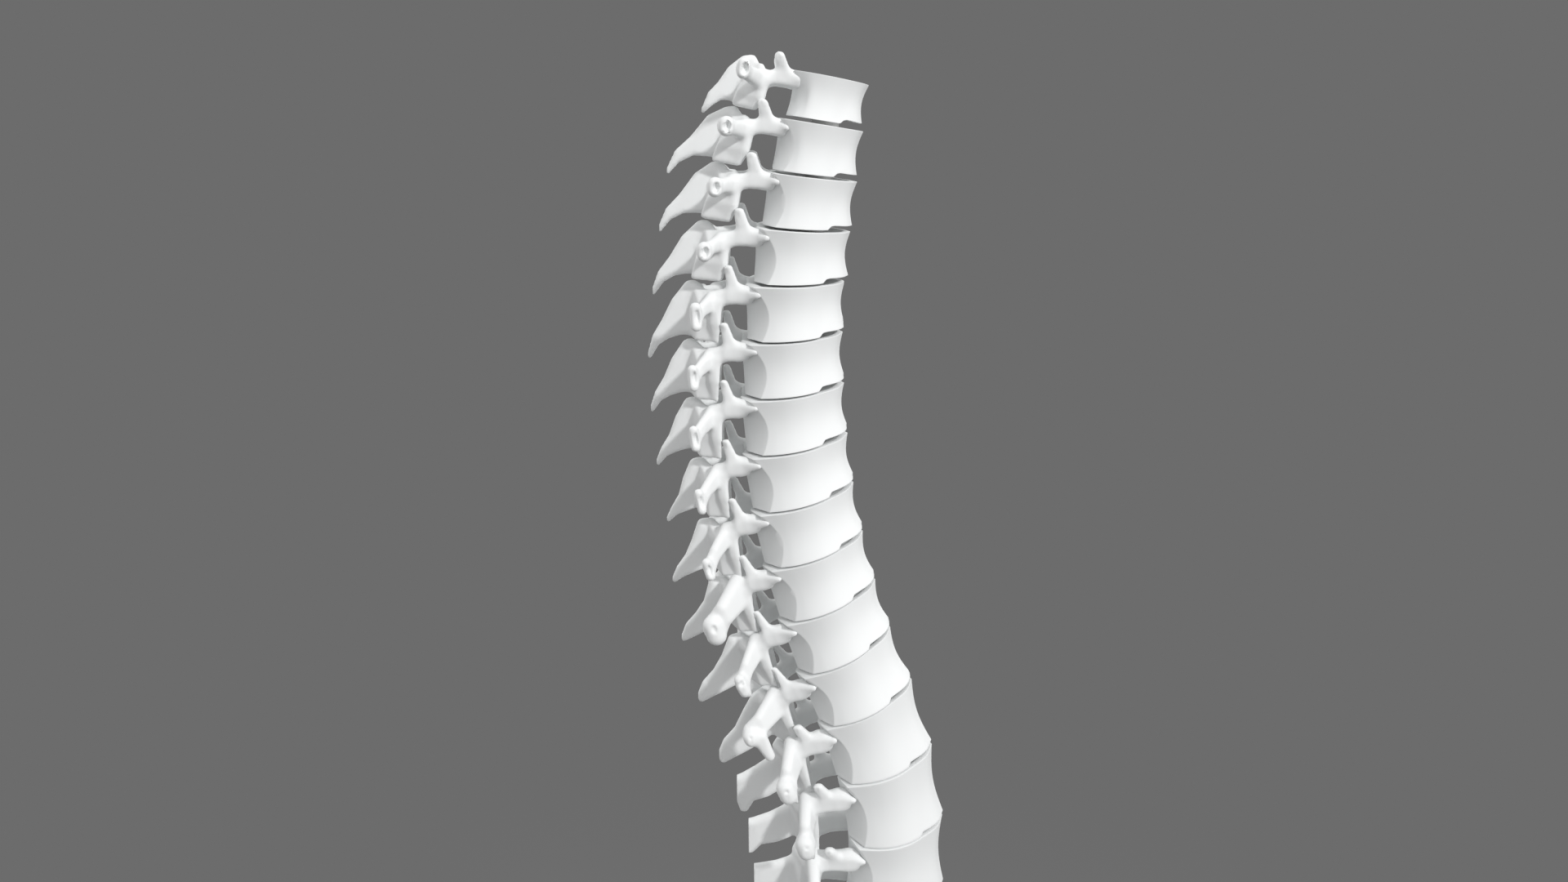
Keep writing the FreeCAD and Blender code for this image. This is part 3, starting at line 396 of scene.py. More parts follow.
# Spinous processes: stations from front to back, each a place, a top, a foot and a half width
KEEL = {
    T1: [(-35.0, 10.8, -7.4, 2.6), (-39.5, 6.4, -6.8, 2.1), (-43.0, 0.0, -7.4, 1.7),
         (-46.4, -4.4, -10.4, 1.3), (-48.8, -12.0, -13.6, 0.8)],
    T2: [(-39.0, 11.2, -9.0, 2.8), (-45.0, 7.6, -8.8, 2.2), (-51.0, -1.2, -9.2, 1.8),
         (-56.8, -7.6, -13.0, 1.4), (-60.0, -15.6, -17.8, 0.8)],
    T5: [(-46.0, 12.4, -10.2, 3.0), (-52.0, 5.8, -10.4, 2.4), (-57.0, -2.6, -11.8, 1.9),
         (-61.6, -9.2, -14.6, 1.5), (-64.8, -17.4, -20.0, 0.8)],
    T8: [(-47.5, 11.4, -10.8, 3.0), (-52.0, 5.0, -11.2, 2.4), (-56.0, -2.8, -11.8, 1.9),
         (-60.6, -8.0, -12.9, 1.5), (-64.4, -13.0, -15.4, 0.9)],
    T10: [(-50.0, 10.6, -12.0, 3.0), (-56.0, 1.6, -13.0, 2.3), (-62.0, -3.4, -13.8, 2.1),
          (-68.0, -7.2, -15.0, 1.8), (-72.4, -12.4, -15.8, 1.1)],
    T12: [(-50.0, 7.6, -15.0, 3.0), (-57.0, 2.0, -17.4, 2.4), (-64.5, -4.8, -18.8, 2.3),
          (-72.0, -8.6, -19.6, 2.4), (-77.6, -14.0, -20.4, 1.8)],
    L1: [(-50.0, 1.4, -16.8, 3.2), (-55.0, -1.0, -19.0, 2.6), (-62.0, -3.4, -21.0, 2.5),
         (-70.0, -5.4, -21.0, 2.6), (-75.2, -5.8, -26.0, 2.0)],
    L3: [(-51.5, 1.2, -15.4, 3.2), (-55.5, -0.6, -17.0, 2.6), (-61.5, -2.4, -18.0, 2.6),
         (-69.6, -3.4, -17.8, 2.6), (-75.2, -3.6, -21.4, 2.0)],
    L5: [(-53.5, 0.6, -12.0, 3.4), (-57.0, -0.8, -12.6, 2.8), (-60.5, -2.0, -13.0, 2.8),
         (-65.0, -3.0, -13.6, 3.4), (-69.0, -4.4, -14.4, 3.2)],
}


def at_level(stations, level):
    """The value at a level, in a straight line between the stations on either side of it."""
    keys = sorted(stations)
    upper = max([key for key in keys if key <= level], default=keys[0])
    lower = min([key for key in keys if key > level], default=upper)
    if upper == lower:
        return np.array(stations[upper])
    share = (level - upper) / (lower - upper)
    return np.array(stations[upper]) * (1 - share) + np.array(stations[lower]) * share


def sizes_at(level, *tables):
    """The values of some tables at a level."""
    return [float(at_level(table, level)) for table in tables]


def plate_distance(points, plate, distance):
    """The lesser of the points' distances so far and those to a three-cornered plate's skin."""
    places, radii = plate[:, :3], plate[:, 3]
    for first, second in ((0, 1), (1, 2), (2, 0)):
        run = places[second] - places[first]
        share = np.clip(((points - places[first]) @ run) / max(run @ run, 1e-9), 0, 1)
        away = points - places[first] - share[..., None] * run
        radius = radii[first] + share * (radii[second] - radii[first])
        distance = np.minimum(distance, np.sqrt((away * away).sum(-1)) - radius)
    one, two = places[1] - places[0], places[2] - places[0]
    normal = np.cross(one, two)
    size = np.linalg.norm(normal)
    if size > 1e-6:
        normal = normal / size
        offset = points - places[0]
        along_one = np.cross(two, normal)
        along_two = np.cross(normal, one)
        share_one = (offset @ along_one) / (one @ along_one)
        share_two = (offset @ along_two) / (two @ along_two)
        over = (share_one >= 0) & (share_two >= 0) & (share_one + share_two <= 1)
        radius = radii[0] + share_one * (radii[1] - radii[0]) + share_two * (radii[2] - radii[0])
        distance = np.where(over, np.minimum(distance, np.abs(offset @ normal) - radius), distance)
    return distance


class Field:
    """Distances to a form's skin on a grid over one half of it, which its other half mirrors."""

    FAR = 9.0

    def __init__(self, low, high, cell, blend):
        self.cell = cell
        self.blend = blend
        self.low = np.array([0.5 * cell, low[1], low[2]])
        counts = [int(math.ceil((high[axis] - self.low[axis]) / cell)) + 1 for axis in range(3)]
        self.lines = [self.low[axis] + cell * np.arange(counts[axis]) for axis in range(3)]
        self.values = np.full(counts, self.FAR)

    def window(self, low, high):
        """The part of the grid between two corners, and its points."""
        slices = []
        for axis in range(3):
            line = self.lines[axis]
            first = max(0, int(math.floor((low[axis] - self.low[axis]) / self.cell)))
            last = min(len(line), int(math.ceil((high[axis] - self.low[axis]) / self.cell)) + 1)
            slices.append(slice(first, max(first, last)))
        lines = [line[part] for line, part in zip(self.lines, slices)]
        return tuple(slices), np.stack(np.meshgrid(*lines, indexing="ij"), -1)

    def add(self, distance, part):
        """Joins a form to the field with a rounded crease."""
        old = self.values[part]
        share = np.clip(0.5 + 0.5 * (distance - old) / self.blend, 0, 1)
        self.values[part] = distance * (1 - share) + old * share - self.blend * share * (1 - share)

    def plates(self, *plates):
        """Adds three-cornered plates as one form, each corner a place and a radius."""
        every = np.array([corner for plate in plates for corner in plate], dtype=float)
        reach = every[:, 3].max() + 2 * self.blend
        part, points = self.window(every[:, :3].min(0) - reach, every[:, :3].max(0) + reach)
        if points.size:
            distance = np.full(points.shape[:3], self.FAR)
            for plate in plates:
                distance = plate_distance(points, np.array(plate, dtype=float), distance)
            self.add(distance, part)

    def sheet(self, rows):
        """Adds the plates between rows of corners."""
        plates = []
        for upper, lower in zip(rows, rows[1:]):
            for index in range(len(upper) - 1):
                plates.append((upper[index], upper[index + 1], lower[index]))
                plates.append((upper[index + 1], lower[index + 1], lower[index]))
        self.plates(*plates)

    def hollow(self, centre, radii):
        """Takes an egg-shaped hollow out of the form."""
        centre, radii = np.array(centre), np.array(radii)
        part, points = self.window(centre - radii - 2, centre + radii + 2)
        if points.size == 0:
            return
        away = (points - centre) / radii
        length = np.sqrt((away * away).sum(-1))
        distance = (1 - length) * radii.min()
        old = self.values[part]
        share = np.clip(0.5 - 0.5 * (distance - old) / HOLLOW_BLEND, 0, 1)
        rim = HOLLOW_BLEND * share * (1 - share)
        self.values[part] = distance * (1 - share) + old * share + rim

    def skin(self):
        """The form's skin as places and four-sided faces: one point in each cell that it passes."""
        values = np.concatenate([self.values[::-1], self.values])
        shape = values.shape
        cells = np.array(shape) - 1
        sums = np.zeros((cells.prod(), 3))
        counts = np.zeros(cells.prod())
        quads = []
        for axis in range(3):
            near = [slice(None)] * 3
            far = [slice(None)] * 3
            near[axis] = slice(None, -1)
            far[axis] = slice(1, None)
            one, two = values[tuple(near)], values[tuple(far)]
            spots = np.argwhere((one < 0) != (two < 0))
            start, end = one[tuple(spots.T)], two[tuple(spots.T)]
            place = spots.astype(float)
            place[:, axis] += start / (start - end)
            sides = [other for other in range(3) if other != axis]
            ring = []
            for back_one, back_two in ((0, 0), (1, 0), (1, 1), (0, 1)):
                cell = spots.copy()
                cell[:, sides[0]] -= back_one
                cell[:, sides[1]] -= back_two
                good = ((cell >= 0) & (cell < cells)).all(1)
                index = np.where(good, (cell[:, 0] * cells[1] + cell[:, 1]) * cells[2] + cell[:, 2], -1)
                np.add.at(sums, index[good], place[good])
                np.add.at(counts, index[good], 1)
                ring.append(index)
            ring = np.array(ring).T
            whole = (ring >= 0).all(1)
            flip = (start < 0) == (axis != 1)
            ring[flip] = ring[flip][:, ::-1]
            quads.append(ring[whole])
        used = np.flatnonzero(counts)
        renamed = np.full(counts.shape, -1)
        renamed[used] = np.arange(len(used))
        places = sums[used] / counts[used, None] * self.cell
        places += np.array([-self.lines[0][-1], self.low[1], self.low[2]])
        return places, renamed[np.concatenate(quads)]


def arch_field(level, cell, blend):
    """The whole form behind the body: pedicles, joint and transverse processes, laminae and keel."""
    half_depth = float(at_level(BODY_DEPTH, level)) / 2
    back_a = -half_depth - float(at_level(BACK_DEPTH, level))
    field = Field((0, ARCH_BACK, ARCH_FOOT), (ARCH_SIDE, -half_depth + ARCH_OVERLAP, ARCH_TOP),
                  cell, blend)
    add_pedicle(field, level, half_depth, back_a)
    add_upper_process(field, level, back_a)
    add_laminae(field, level)
    add_transverse_process(field, level)
    add_keel(field, level)
    return field


def add_pedicle(field, level, half_depth, back_a):
    """A pedicle from a wedge on the body's top corner back to the pillar."""
    half_x, half_h, h, x = sizes_at(level, PEDICLE_HALF_X, PEDICLE_HALF_H, PEDICLE_H, PEDICLE_X)
    edge_x, pillar_a, pillar_x = sizes_at(level, EDGE_X, PILLAR_A, PILLAR_X)
    radius = min(half_x, half_h) * PEDICLE_FILL
    stand = half_h - radius + PEDICLE_OVER
    rows = []
    for side in (stand, -stand):
        rows.append([(x, back_a + 3, h + side, radius), (x, back_a, h + side, radius),
                     ((x + pillar_x) / 2, (back_a + pillar_a) / 2, h - 0.2 + side, radius * 0.92),
                     (pillar_x - 0.6, pillar_a - 1, h - 1.5 + side, radius)])
    field.sheet(rows)
    field.plates(((edge_x - 2.0, -half_depth + 0.6, h + half_h * 0.2, WEDGE_R),
                  (x, back_a + 1, h + stand + PEDICLE_OVER, radius * 0.9),
                  (x, back_a + 1, h - stand, radius * 0.8)))


def add_upper_process(field, level, back_a):
    """An upper joint process: a finger or fin that leans back, with a hollow in its face."""
    tip_a, tip_h, tip_x, tip_r = sizes_at(level, UPPER_TIP_A, UPPER_TIP_H, UPPER_TIP_X, UPPER_R)
    base_h, base_x = sizes_at(level, PEDICLE_H, PEDICLE_X)
    base_a = tip_a + UPPER_SHARE * (back_a - tip_a) + 1.2
    spread = UPPER_SPREAD_HIGH if level <= T4 else UPPER_SPREAD
    neck_h = base_h + UPPER_SHARE * (tip_h - base_h)
    neck_a = base_a + 0.5 * (tip_a - base_a)
    neck_x = (base_x + tip_x) / 2
    end_h = tip_h - tip_r
    field.sheet([[(base_x, base_a + spread, base_h, UPPER_BASE_R),
                  (base_x, base_a - spread, base_h - 0.5, UPPER_BASE_R)],
                 [(neck_x, neck_a + 0.7, neck_h, tip_r), (neck_x, neck_a - 1.0, neck_h, tip_r)],
                 [(tip_x, tip_a + 0.5, end_h, tip_r * 0.9), (tip_x, tip_a - 0.5, end_h, tip_r * 0.9)]])
    rise = tip_h - base_h
    field.hollow((tip_x + tip_r, tip_a - FACE_R, base_h + FACE_SHARE * rise),
                 (FACE_R, FACE_R, FACE_LENGTH * rise + 0.6))


def add_laminae(field, level):
    """Laminae and lower joint process: a bent shield from the pillar back to the keel."""
    pillar_a, pillar_x, h = sizes_at(level, PILLAR_A, PILLAR_X, PEDICLE_H)
    middle_a, top, foot = sizes_at(level, LAMINA_A, LAMINA_TOP, LAMINA_FOOT)
    tip_a, tip_h, tip_x, tip_r = sizes_at(level, LOWER_TIP_A, LOWER_TIP_H, LOWER_TIP_X, LOWER_R)
    reach = float(at_level(LOWER_REACH, level))
    wall = float(at_level(ARCH_WALL, level)) / 2
    middle_h = (h + tip_h) / 2 - 1
    wing_a = (pillar_a + middle_a) / 2
    waist_x = (pillar_x + tip_x) / 2
    waist_a = (pillar_a + tip_a) / 2
    field.sheet([
        [(pillar_x * 0.62, pillar_a - 2.0, top - wall, wall * 0.8),
         (pillar_x * 0.4, wing_a, top - wall, wall * 0.85), (0, middle_a + 1.5, top + 0.6, wall)],
        [(pillar_x, pillar_a, h - 2, wall), (pillar_x * 0.82, wing_a - 0.6, h - 4, wall),
         (0, middle_a, h - 4, wall)],
        [(waist_x + 0.8, waist_a + 1.0, middle_h, tip_r),
         (tip_x * 0.86, tip_a - reach * 0.8, middle_h, wall * 0.8),
         (0, middle_a - 0.5, foot * 0.4, wall)],
        [(tip_x, tip_a + 1.0, tip_h + tip_r + 0.6, tip_r * 0.9),
         (tip_x * 0.8, tip_a - reach, tip_h + 2.4, wall * 0.7),
         (0, middle_a - 1.0, foot + wall, wall * 0.9)],
    ])
    if level >= T5:
        fold_out = FOLD_OUT if level <= L1 else FOLD_OUT_LOW
        field.sheet([
            [(pillar_x + 1.0, pillar_a + 1.0, h - 2, 1.2), (pillar_x + 0.6, pillar_a - 2.0, h - 3, 1.4)],
            [(waist_x + fold_out, waist_a + 1.6, middle_h, 1.05),
             (waist_x + 1.6, waist_a - 0.6, middle_h, 1.2)],
            [(tip_x + 1.4, tip_a + 2.4, tip_h + 0.9, 0.75), (tip_x + 0.8, tip_a + 1.4, tip_h + 2.2, 0.9)],
        ])


def add_transverse_process(field, level):
    """A transverse process: a web or limb from the pillar out to a knob with a dimple."""
    pillar_a, pillar_x, h = sizes_at(level, PILLAR_A, PILLAR_X, PEDICLE_H)
    x, a, knob_h, half_a, half_h = sizes_at(level, KNOB_X, KNOB_A, KNOB_H, KNOB_HALF_A, KNOB_HALF_H)
    shaft_a, shaft_h = sizes_at(level, SHAFT_HALF_A, SHAFT_HALF_H)
    radius = min(shaft_a, shaft_h) * SHAFT_FILL
    stand = shaft_h - radius
    root_h = h - ROOT_DROP
    knob_r = half_a * KNOB_FILL
    knob_stand = max(half_h - knob_r, 0)
    elbow_x = pillar_x + ELBOW_X * (x - pillar_x)
    elbow_a = pillar_a + ELBOW_A * (a - pillar_a) - 0.8
    elbow_h = root_h + ELBOW_H * (knob_h - root_h)
    rows = []
    for side in (1, -1):
        rows.append([(pillar_x - 1, pillar_a - 2, root_h + side * stand * 1.3, radius * 1.15),
                     (elbow_x, elbow_a, elbow_h + side * stand * 0.8, radius * 0.95),
                     (x - knob_r - 2.4, a + 0.2, knob_h + side * stand * 0.9, radius * 0.95)])
    field.sheet(rows)
    head_x = x - knob_r * 0.8
    field.plates(((head_x, a, knob_h + knob_stand, knob_r * 0.8),
                  (head_x, a, knob_h - knob_stand, knob_r * 0.8),
                  (head_x - 2.2, a, knob_h, knob_r * 0.95)))
    if level == T12:
        field.plates(((head_x - 1, a + 2.0, knob_h, 2.6), (head_x - 1.6, a + 3.6, FOOT_TIP_H, 2.3),
                      (head_x - 1.2, a + 4.4, knob_h - 2, 2.4)))
    if level >= T11:
        field.plates(((head_x, a, knob_h, knob_r * 0.7),
                      (head_x - 0.8, a + knob_r * 0.5, knob_h - half_h * 0.95, 0.9),
                      (head_x - 4, a - 0.5, knob_h, knob_r * 0.7)))
    rise = half_h * DIMPLE_RISE if level >= T10 else 0
    field.hollow((x + 0.1, a + 0.6, knob_h + rise),
                 sizes_at(level, DIMPLE_DEPTH, DIMPLE_HALF_A, DIMPLE_HALF_H))


def add_keel(field, level):
    """The spinous process: a keel between the top and foot edges of its stations."""
    rows = [[], []]
    for a, top, foot, half in at_level(KEEL, level):
        rows[0].append((0, a, max(top - half, (top + foot) / 2), half))
        rows[1].append((0, a, min(foot + half, (top + foot) / 2), half))
    field.sheet(rows)


def column_frames():
    """Each vertebra's middle and its lean, from the spacers above and below it."""
    gaps = [ring_of(node)[0] for node in SPACERS]
    places = []
    for level in range(len(THORACIC + LUMBAR)):
        lean = math.radians(float(at_level(LEAN, level)))
        up = Vector((0, -math.sin(lean), math.cos(lean)))
        if level == T1:
            half_height = float(at_level(BODY_HEIGHT, T1)) / 2
            places.append((gaps[0] + up * (half_height + TOP_STAND) * MM, lean))
        else:
            places.append(((gaps[level - 1] + gaps[level]) / 2, lean))
    return places


def smooth_line(corners, parts):
    """Points on a smooth line through some corners, each run cut in the same number of parts."""
    corners = np.array(corners, dtype=float)
    steps = np.linalg.norm(np.diff(corners, axis=0), axis=1)
    slopes = np.gradient(corners, np.concatenate([[0], np.cumsum(steps)]), axis=0)
    points = []
    for index, step in enumerate(steps):
        for part in range(parts):
            t = part / parts
            points.append(corners[index] * (1 + 2 * t) * (1 - t) ** 2
                          + slopes[index] * step * t * (1 - t) ** 2
                          + corners[index + 1] * t * t * (3 - 2 * t)
                          + slopes[index + 1] * step * t * t * (t - 1))
    points.append(corners[-1])
    return points


class BodyForm:
    """A vertebral body: round front and sides, flat chamfers behind them, dished ends."""

    def __init__(self, level):
        depth, width, self.height = sizes_at(level, BODY_DEPTH, BODY_WIDTH, BODY_HEIGHT)
        self.half_depth = depth / 2
        self.half_width = width / 2
        self.edge_x, self.back = sizes_at(level, EDGE_X, BACK_DEPTH)
        lean = float(at_level(LEAN, level))
        above = lean if level == T1 else (lean + float(at_level(LEAN, level - 1))) / 2
        below = (lean + float(at_level(LEAN, level + 1))) / 2
        self.top_slope = math.tan(math.radians(lean - above))
        self.foot_slope = math.tan(math.radians(lean - below))

    def top(self, a):
        """The upper end's height."""
        return self.height / 2 + self.top_slope * a

    def foot(self, a):
        """The lower end's height, with the step under its front."""
        run = a - STEP_A * self.half_depth
        closing = 1 - STEP_CLOSING * np.clip(run / self.half_depth, 0, 1)
        step = np.clip(run / STEP_RAMP, 0, 1) * closing * FRONT_STEP
        return -self.height / 2 + self.foot_slope * a + step

    def outline(self, share):
        """A level section's outline at a share of the height."""
        swell = math.sin(math.pi * share)
        half_a, half_x = self.half_depth, self.half_width
        edge_a = -half_a + EDGE_A_FOOT - EDGE_A_RISE * share + EDGE_A_SWELL * swell
        edge_x = self.edge_x * (1 - EDGE_PINCH + EDGE_PINCH * swell)
        back_a = -half_a - self.back * (1 - BACK_PINCH + BACK_PINCH * swell)
        back_x = min(self.edge_x - CHAMFER_WIDTH, BACK_SHARE * half_x)
        corners = [(half_x * out, half_a * front) for out, front in BODY_SIDE]
        side = smooth_line([(edge_x, edge_a)] + corners, SIDE_CUTS)
        ridge = max(0.0, 1 - abs(share - RIDGE_SHARE) / RIDGE_SPAN) * RIDGE
        chamfer = []
        for part in range(1, CHAMFER_CUTS):
            t = part / CHAMFER_CUTS
            out = ridge * math.sin(math.pi * t)
            chamfer.append((back_x + (edge_x - back_x) * t + out * RIDGE_X,
                            back_a + (edge_a - back_a) * t - out * RIDGE_A))
        hollow = BACK_HOLLOW * back_x
        wall = [(0, back_a + hollow), (back_x * 0.5, back_a + hollow * 0.8), (back_x, back_a)]
        half = np.array(wall + chamfer + [tuple(point) for point in side])
        other = half[-2:0:-1] * np.array([-1, 1])
        whole = np.concatenate([half, other])
        scale = 1 - WAIST * swell
        waist_a = WAIST_CENTRE * half_a
        whole[:, 1] = -waist_a + (whole[:, 1] + waist_a) * scale
        whole[:, 0] *= scale
        return whole

    def level_ring(self, share):
        """The outline's points at their heights."""
        ring = self.outline(share)
        heights = self.foot(ring[:, 1]) * (1 - share) + self.top(ring[:, 1]) * share
        return np.column_stack([ring, heights])

    def end_rings(self, share, inward):
        """The rings that go over an end's rim and down into its dish."""
        rings = []
        for scale, depth in DISH_RINGS:
            ring = self.outline(share) * scale
            heights = self.top(ring[:, 1]) if share == 1 else self.foot(ring[:, 1])
            rings.append(np.column_stack([ring, heights + inward * depth]))
        return rings

    def mesh(self):
        """The body's mesh in millimetres, in its own frame."""
        sides = [self.level_ring(share) for share in BODY_SHARES]
        rings = self.end_rings(0, 1)[::-1] + sides + self.end_rings(1, -1)
        around = len(rings[0])
        last = around * (len(rings) - 1)
        faces = [list(range(around))[::-1], [last + index for index in range(around)]]
        for count in range(len(rings) - 1):
            for index in range(around):
                after = (index + 1) % around
                lower, upper = around * count, around * (count + 1)
                faces.append([lower + index, lower + after, upper + after, upper + index])
        return np.concatenate(rings), faces


def in_place(places, centre, lean):
    """Points moved from a vertebra's own frame in millimetres to its place in metres."""
    turned = np.empty(places.shape)
    turned[:, 0] = places[:, 0]
    turned[:, 1] = -places[:, 1] * math.cos(lean) - places[:, 2] * math.sin(lean)
    turned[:, 2] = -places[:, 1] * math.sin(lean) + places[:, 2] * math.cos(lean)
    return turned * MM + np.array(centre)


def new_body(name, level, centre, lean, settings):
    """A vertebral body with small radii on its crisp rims."""
    places, faces = BodyForm(level).mesh()
    mesh = bpy.data.meshes.new(name)
    mesh.from_pydata(in_place(places, centre, lean).tolist(), [], faces)
    piece = new_piece(name, mesh)
    if level == T1:
        cut_pocket(piece, lean)
    rims = piece.modifiers.new("rims", "BEVEL")
    rims.width = settings.rim_radius
    rims.segments = 2
    rims.limit_method = "ANGLE"
    rims.angle_limit = RIM_ANGLE
    return baked(piece, name)


def cut_pocket(piece, lean):
    """Takes the nut's round pocket out of the top of a body."""
    low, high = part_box("top_washer")
    spot = (low + high) / 2
    up = Vector((0, -math.sin(lean), math.cos(lean)))
    tool = bmesh.new()
    bmesh.ops.create_cone(tool, cap_ends=True, segments=POCKET_CUTS, radius1=POCKET_R * MM,
                          radius2=POCKET_R * MM, depth=POCKET_HEIGHT * MM)
    turn = Vector((0, 0, 1)).rotation_difference(up).to_matrix().to_4x4()
    turn.translation = spot + up * POCKET_RISE * MM
    tool.transform(turn)
    mesh = bpy.data.meshes.new("pocket")
    tool.to_mesh(mesh)
    tool.free()
    cutter = new_piece("pocket", mesh)
    cut = piece.modifiers.new("pocket", "BOOLEAN")
    cut.object = cutter
    cut.solver = "EXACT"
    baked(piece, piece.name)
    bpy.data.objects.remove(cutter)


def vertebra(node, name, level, frame_at, settings):
    """A vertebra: a body with crisp rims, and an arch grown as one smooth form."""
    centre, lean = frame_at
    piece = new_body(name, level, centre, lean, settings)
    piece.data.shade_smooth()
    piece.data.set_sharp_from_angle(angle=SHARP_ANGLE)
    places, quads = arch_field(level, settings.arch_cell / MM, settings.arch_blend / MM).skin()
    mesh = bpy.data.meshes.new(name + "_arch")
    mesh.from_pydata(in_place(places, centre, lean).tolist(), [], quads.tolist())
    relaxed(mesh, np.ones(len(mesh.vertices)), settings.arch_passes)
    mesh.shade_smooth()
    joined = bmesh.new()
    joined.from_mesh(piece.data)
    joined.from_mesh(mesh)
    joined.to_mesh(piece.data)
    joined.free()
    kept_in_box(piece, node)
    return piece


def kept_in_box(piece, node):
    """Moves what stands outside a CAD node's box onto it."""
    low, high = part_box(node)
    places = np.empty(len(piece.data.vertices) * 3)
    piece.data.vertices.foreach_get("co", places)
    places = np.clip(places.reshape(-1, 3), np.array(low), np.array(high))
    piece.data.vertices.foreach_set("co", places.ravel())
    piece.data.update()


def finished(piece, nodes, material):
    """Gives a piece its material, parents it to the root's empty and hides the CAD nodes that it is drawn
    instead of.
    """
    piece.data.materials.clear()
    piece.data.materials.append(material)
    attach(piece, "root")
    if nodes:
        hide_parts(*nodes)


# Nodes

def fed(tree, node, inputs):
    """The node with some inputs set to values or linked to other nodes' sockets."""
    for key, value in inputs.items():
        if isinstance(value, bpy.types.NodeSocket):
            tree.links.new(value, node.inputs[key])
        else:
            node.inputs[key].default_value = value
    return node


def added(tree, kind, inputs, **settings):
    """A new node with its own settings and its inputs."""
    node = tree.nodes.new(kind)
    for name, value in settings.items():
        setattr(node, name, value)
    return fed(tree, node, inputs)


# Materials

GRAIN_INPUTS = (("Vector", "NodeSocketVector", None),
                ("Colour", "NodeSocketColor", (1, 1, 1, 1)),
                ("Worn Colour", "NodeSocketColor", (0.9, 0.9, 0.9, 1)),
                ("Mottle Scale", "NodeSocketFloat", 60.0),
                ("Grain Scale", "NodeSocketFloat", 1500.0),
                ("Roughness", "NodeSocketFloat", 0.5),
                ("Roughness Spread", "NodeSocketFloat", 0.08))
# The colour sockets of a Mix node, by place, since several share a name
MIX_FACTOR, MIX_FIRST, MIX_SECOND, MIX_RESULT = 0, 6, 7, 2
GRAIN_OUTPUTS = (("Colour", "NodeSocketColor"), ("Roughness", "NodeSocketFloat"),
                 ("Height", "NodeSocketFloat"))


def grain_group():
    """Mottling and fine grain for the plastic, nylon and steel."""
    if "surface_grain" in bpy.data.node_groups:
        return bpy.data.node_groups["surface_grain"]
    group = bpy.data.node_groups.new("surface_grain", "ShaderNodeTree")
    for label, kind, value in GRAIN_INPUTS:
        socket = group.interface.new_socket(name=label, in_out="INPUT", socket_type=kind)
        if value is not None:
            socket.default_value = value
    for label, kind in GRAIN_OUTPUTS:
        group.interface.new_socket(name=label, in_out="OUTPUT", socket_type=kind)
    given = group.nodes.new("NodeGroupInput").outputs
    mottle = added(group, "ShaderNodeTexNoise", {
        "Vector": given["Vector"], "Scale": given["Mottle Scale"], "Detail": 4.0, "Roughness": 0.6})
    grain = added(group, "ShaderNodeTexNoise", {
        "Vector": given["Vector"], "Scale": given["Grain Scale"], "Detail": 3.0})
    spread = added(group, "ShaderNodeMapRange", {
        "Value": mottle.outputs["Fac"], "From Min": 0.35, "From Max": 0.7})
    tint = added(group, "ShaderNodeMix", {
        MIX_FACTOR: spread.outputs["Result"], MIX_FIRST: given["Colour"],
        MIX_SECOND: given["Worn Colour"],
    }, data_type="RGBA")
    centred = added(group, "ShaderNodeMath", {0: mottle.outputs["Fac"], 1: 0.5}, operation="SUBTRACT")
    dulled = added(group, "ShaderNodeMath", {
        0: centred.outputs[0], 1: given["Roughness Spread"], 2: given["Roughness"],
    }, operation="MULTIPLY_ADD")
    height = added(group, "ShaderNodeMath", {
        0: mottle.outputs["Fac"], 1: 0.35, 2: grain.outputs["Fac"]}, operation="MULTIPLY_ADD")
    fed(group, group.nodes.new("NodeGroupOutput"), {
        "Colour": tint.outputs[MIX_RESULT], "Roughness": dulled.outputs[0], "Height": height.outputs[0]})
    return group


def grained_material(name, settings, worn, spread, mottle, grain, bump, stretch=(1, 1, 1), metallic=0.0):
    """A material whose colour, roughness and relief come from the shared grain."""
    if name in bpy.data.materials:
        return bpy.data.materials[name]
    material = bpy.data.materials.new(name)
    material.use_nodes = True
    tree = material.node_tree
    place = added(tree, "ShaderNodeTexCoord", {})
    mapping = added(tree, "ShaderNodeMapping", {"Vector": place.outputs["Object"], "Scale": stretch})
    surface = added(tree, "ShaderNodeGroup", {
        "Vector": mapping.outputs["Vector"],
        "Colour": (*settings.colour, 1),
        "Worn Colour": (*[value * (1 - worn) for value in settings.colour], 1),
        "Mottle Scale": mottle,
        "Grain Scale": grain,
        "Roughness": settings.roughness,
        "Roughness Spread": spread,
    }, node_tree=grain_group())
    relief = added(tree, "ShaderNodeBump", {
        "Strength": 1.0, "Distance": bump, "Height": surface.outputs["Height"]})
    fed(tree, tree.nodes["Principled BSDF"], {
        "Metallic": metallic,
        "Base Color": surface.outputs["Colour"],
        "Roughness": surface.outputs["Roughness"],
        "Normal": relief.outputs["Normal"],
    })
    return material


def bone_plastic(context):
    """Matt white moulded plastic with faint mottling and a fine spark grain."""
    return grained_material("bone_plastic", context.scene.spine_moulding, worn=0.035, spread=0.12,
                            mottle=55.0, grain=1600.0, bump=0.04 * MM)


def spacer_nylon(context):
    """Natural nylon, a little glossier and warmer than the mouldings."""
    return grained_material("spacer_nylon", context.scene.spine_spacers, worn=0.08, spread=0.1,
                            mottle=220.0, grain=2600.0, bump=0.015 * MM)


def rod_steel(context):
    """Drawn steel with fine marks along the rod."""
    return grained_material("rod_steel", context.scene.spine_metal, worn=0.22, spread=0.22,
                            mottle=500.0, grain=4200.0, bump=0.02 * MM, stretch=(1, 1, 0.06),
                            metallic=1.0)


# Geometry node trees

RING_CUTS = 72
RING_EDGE_CUTS = 4
THREAD_CUTS = 40
THREAD_SIDES = 4
ROD_RADIUS = 2.5 * MM
THREAD_SINK = 0.4


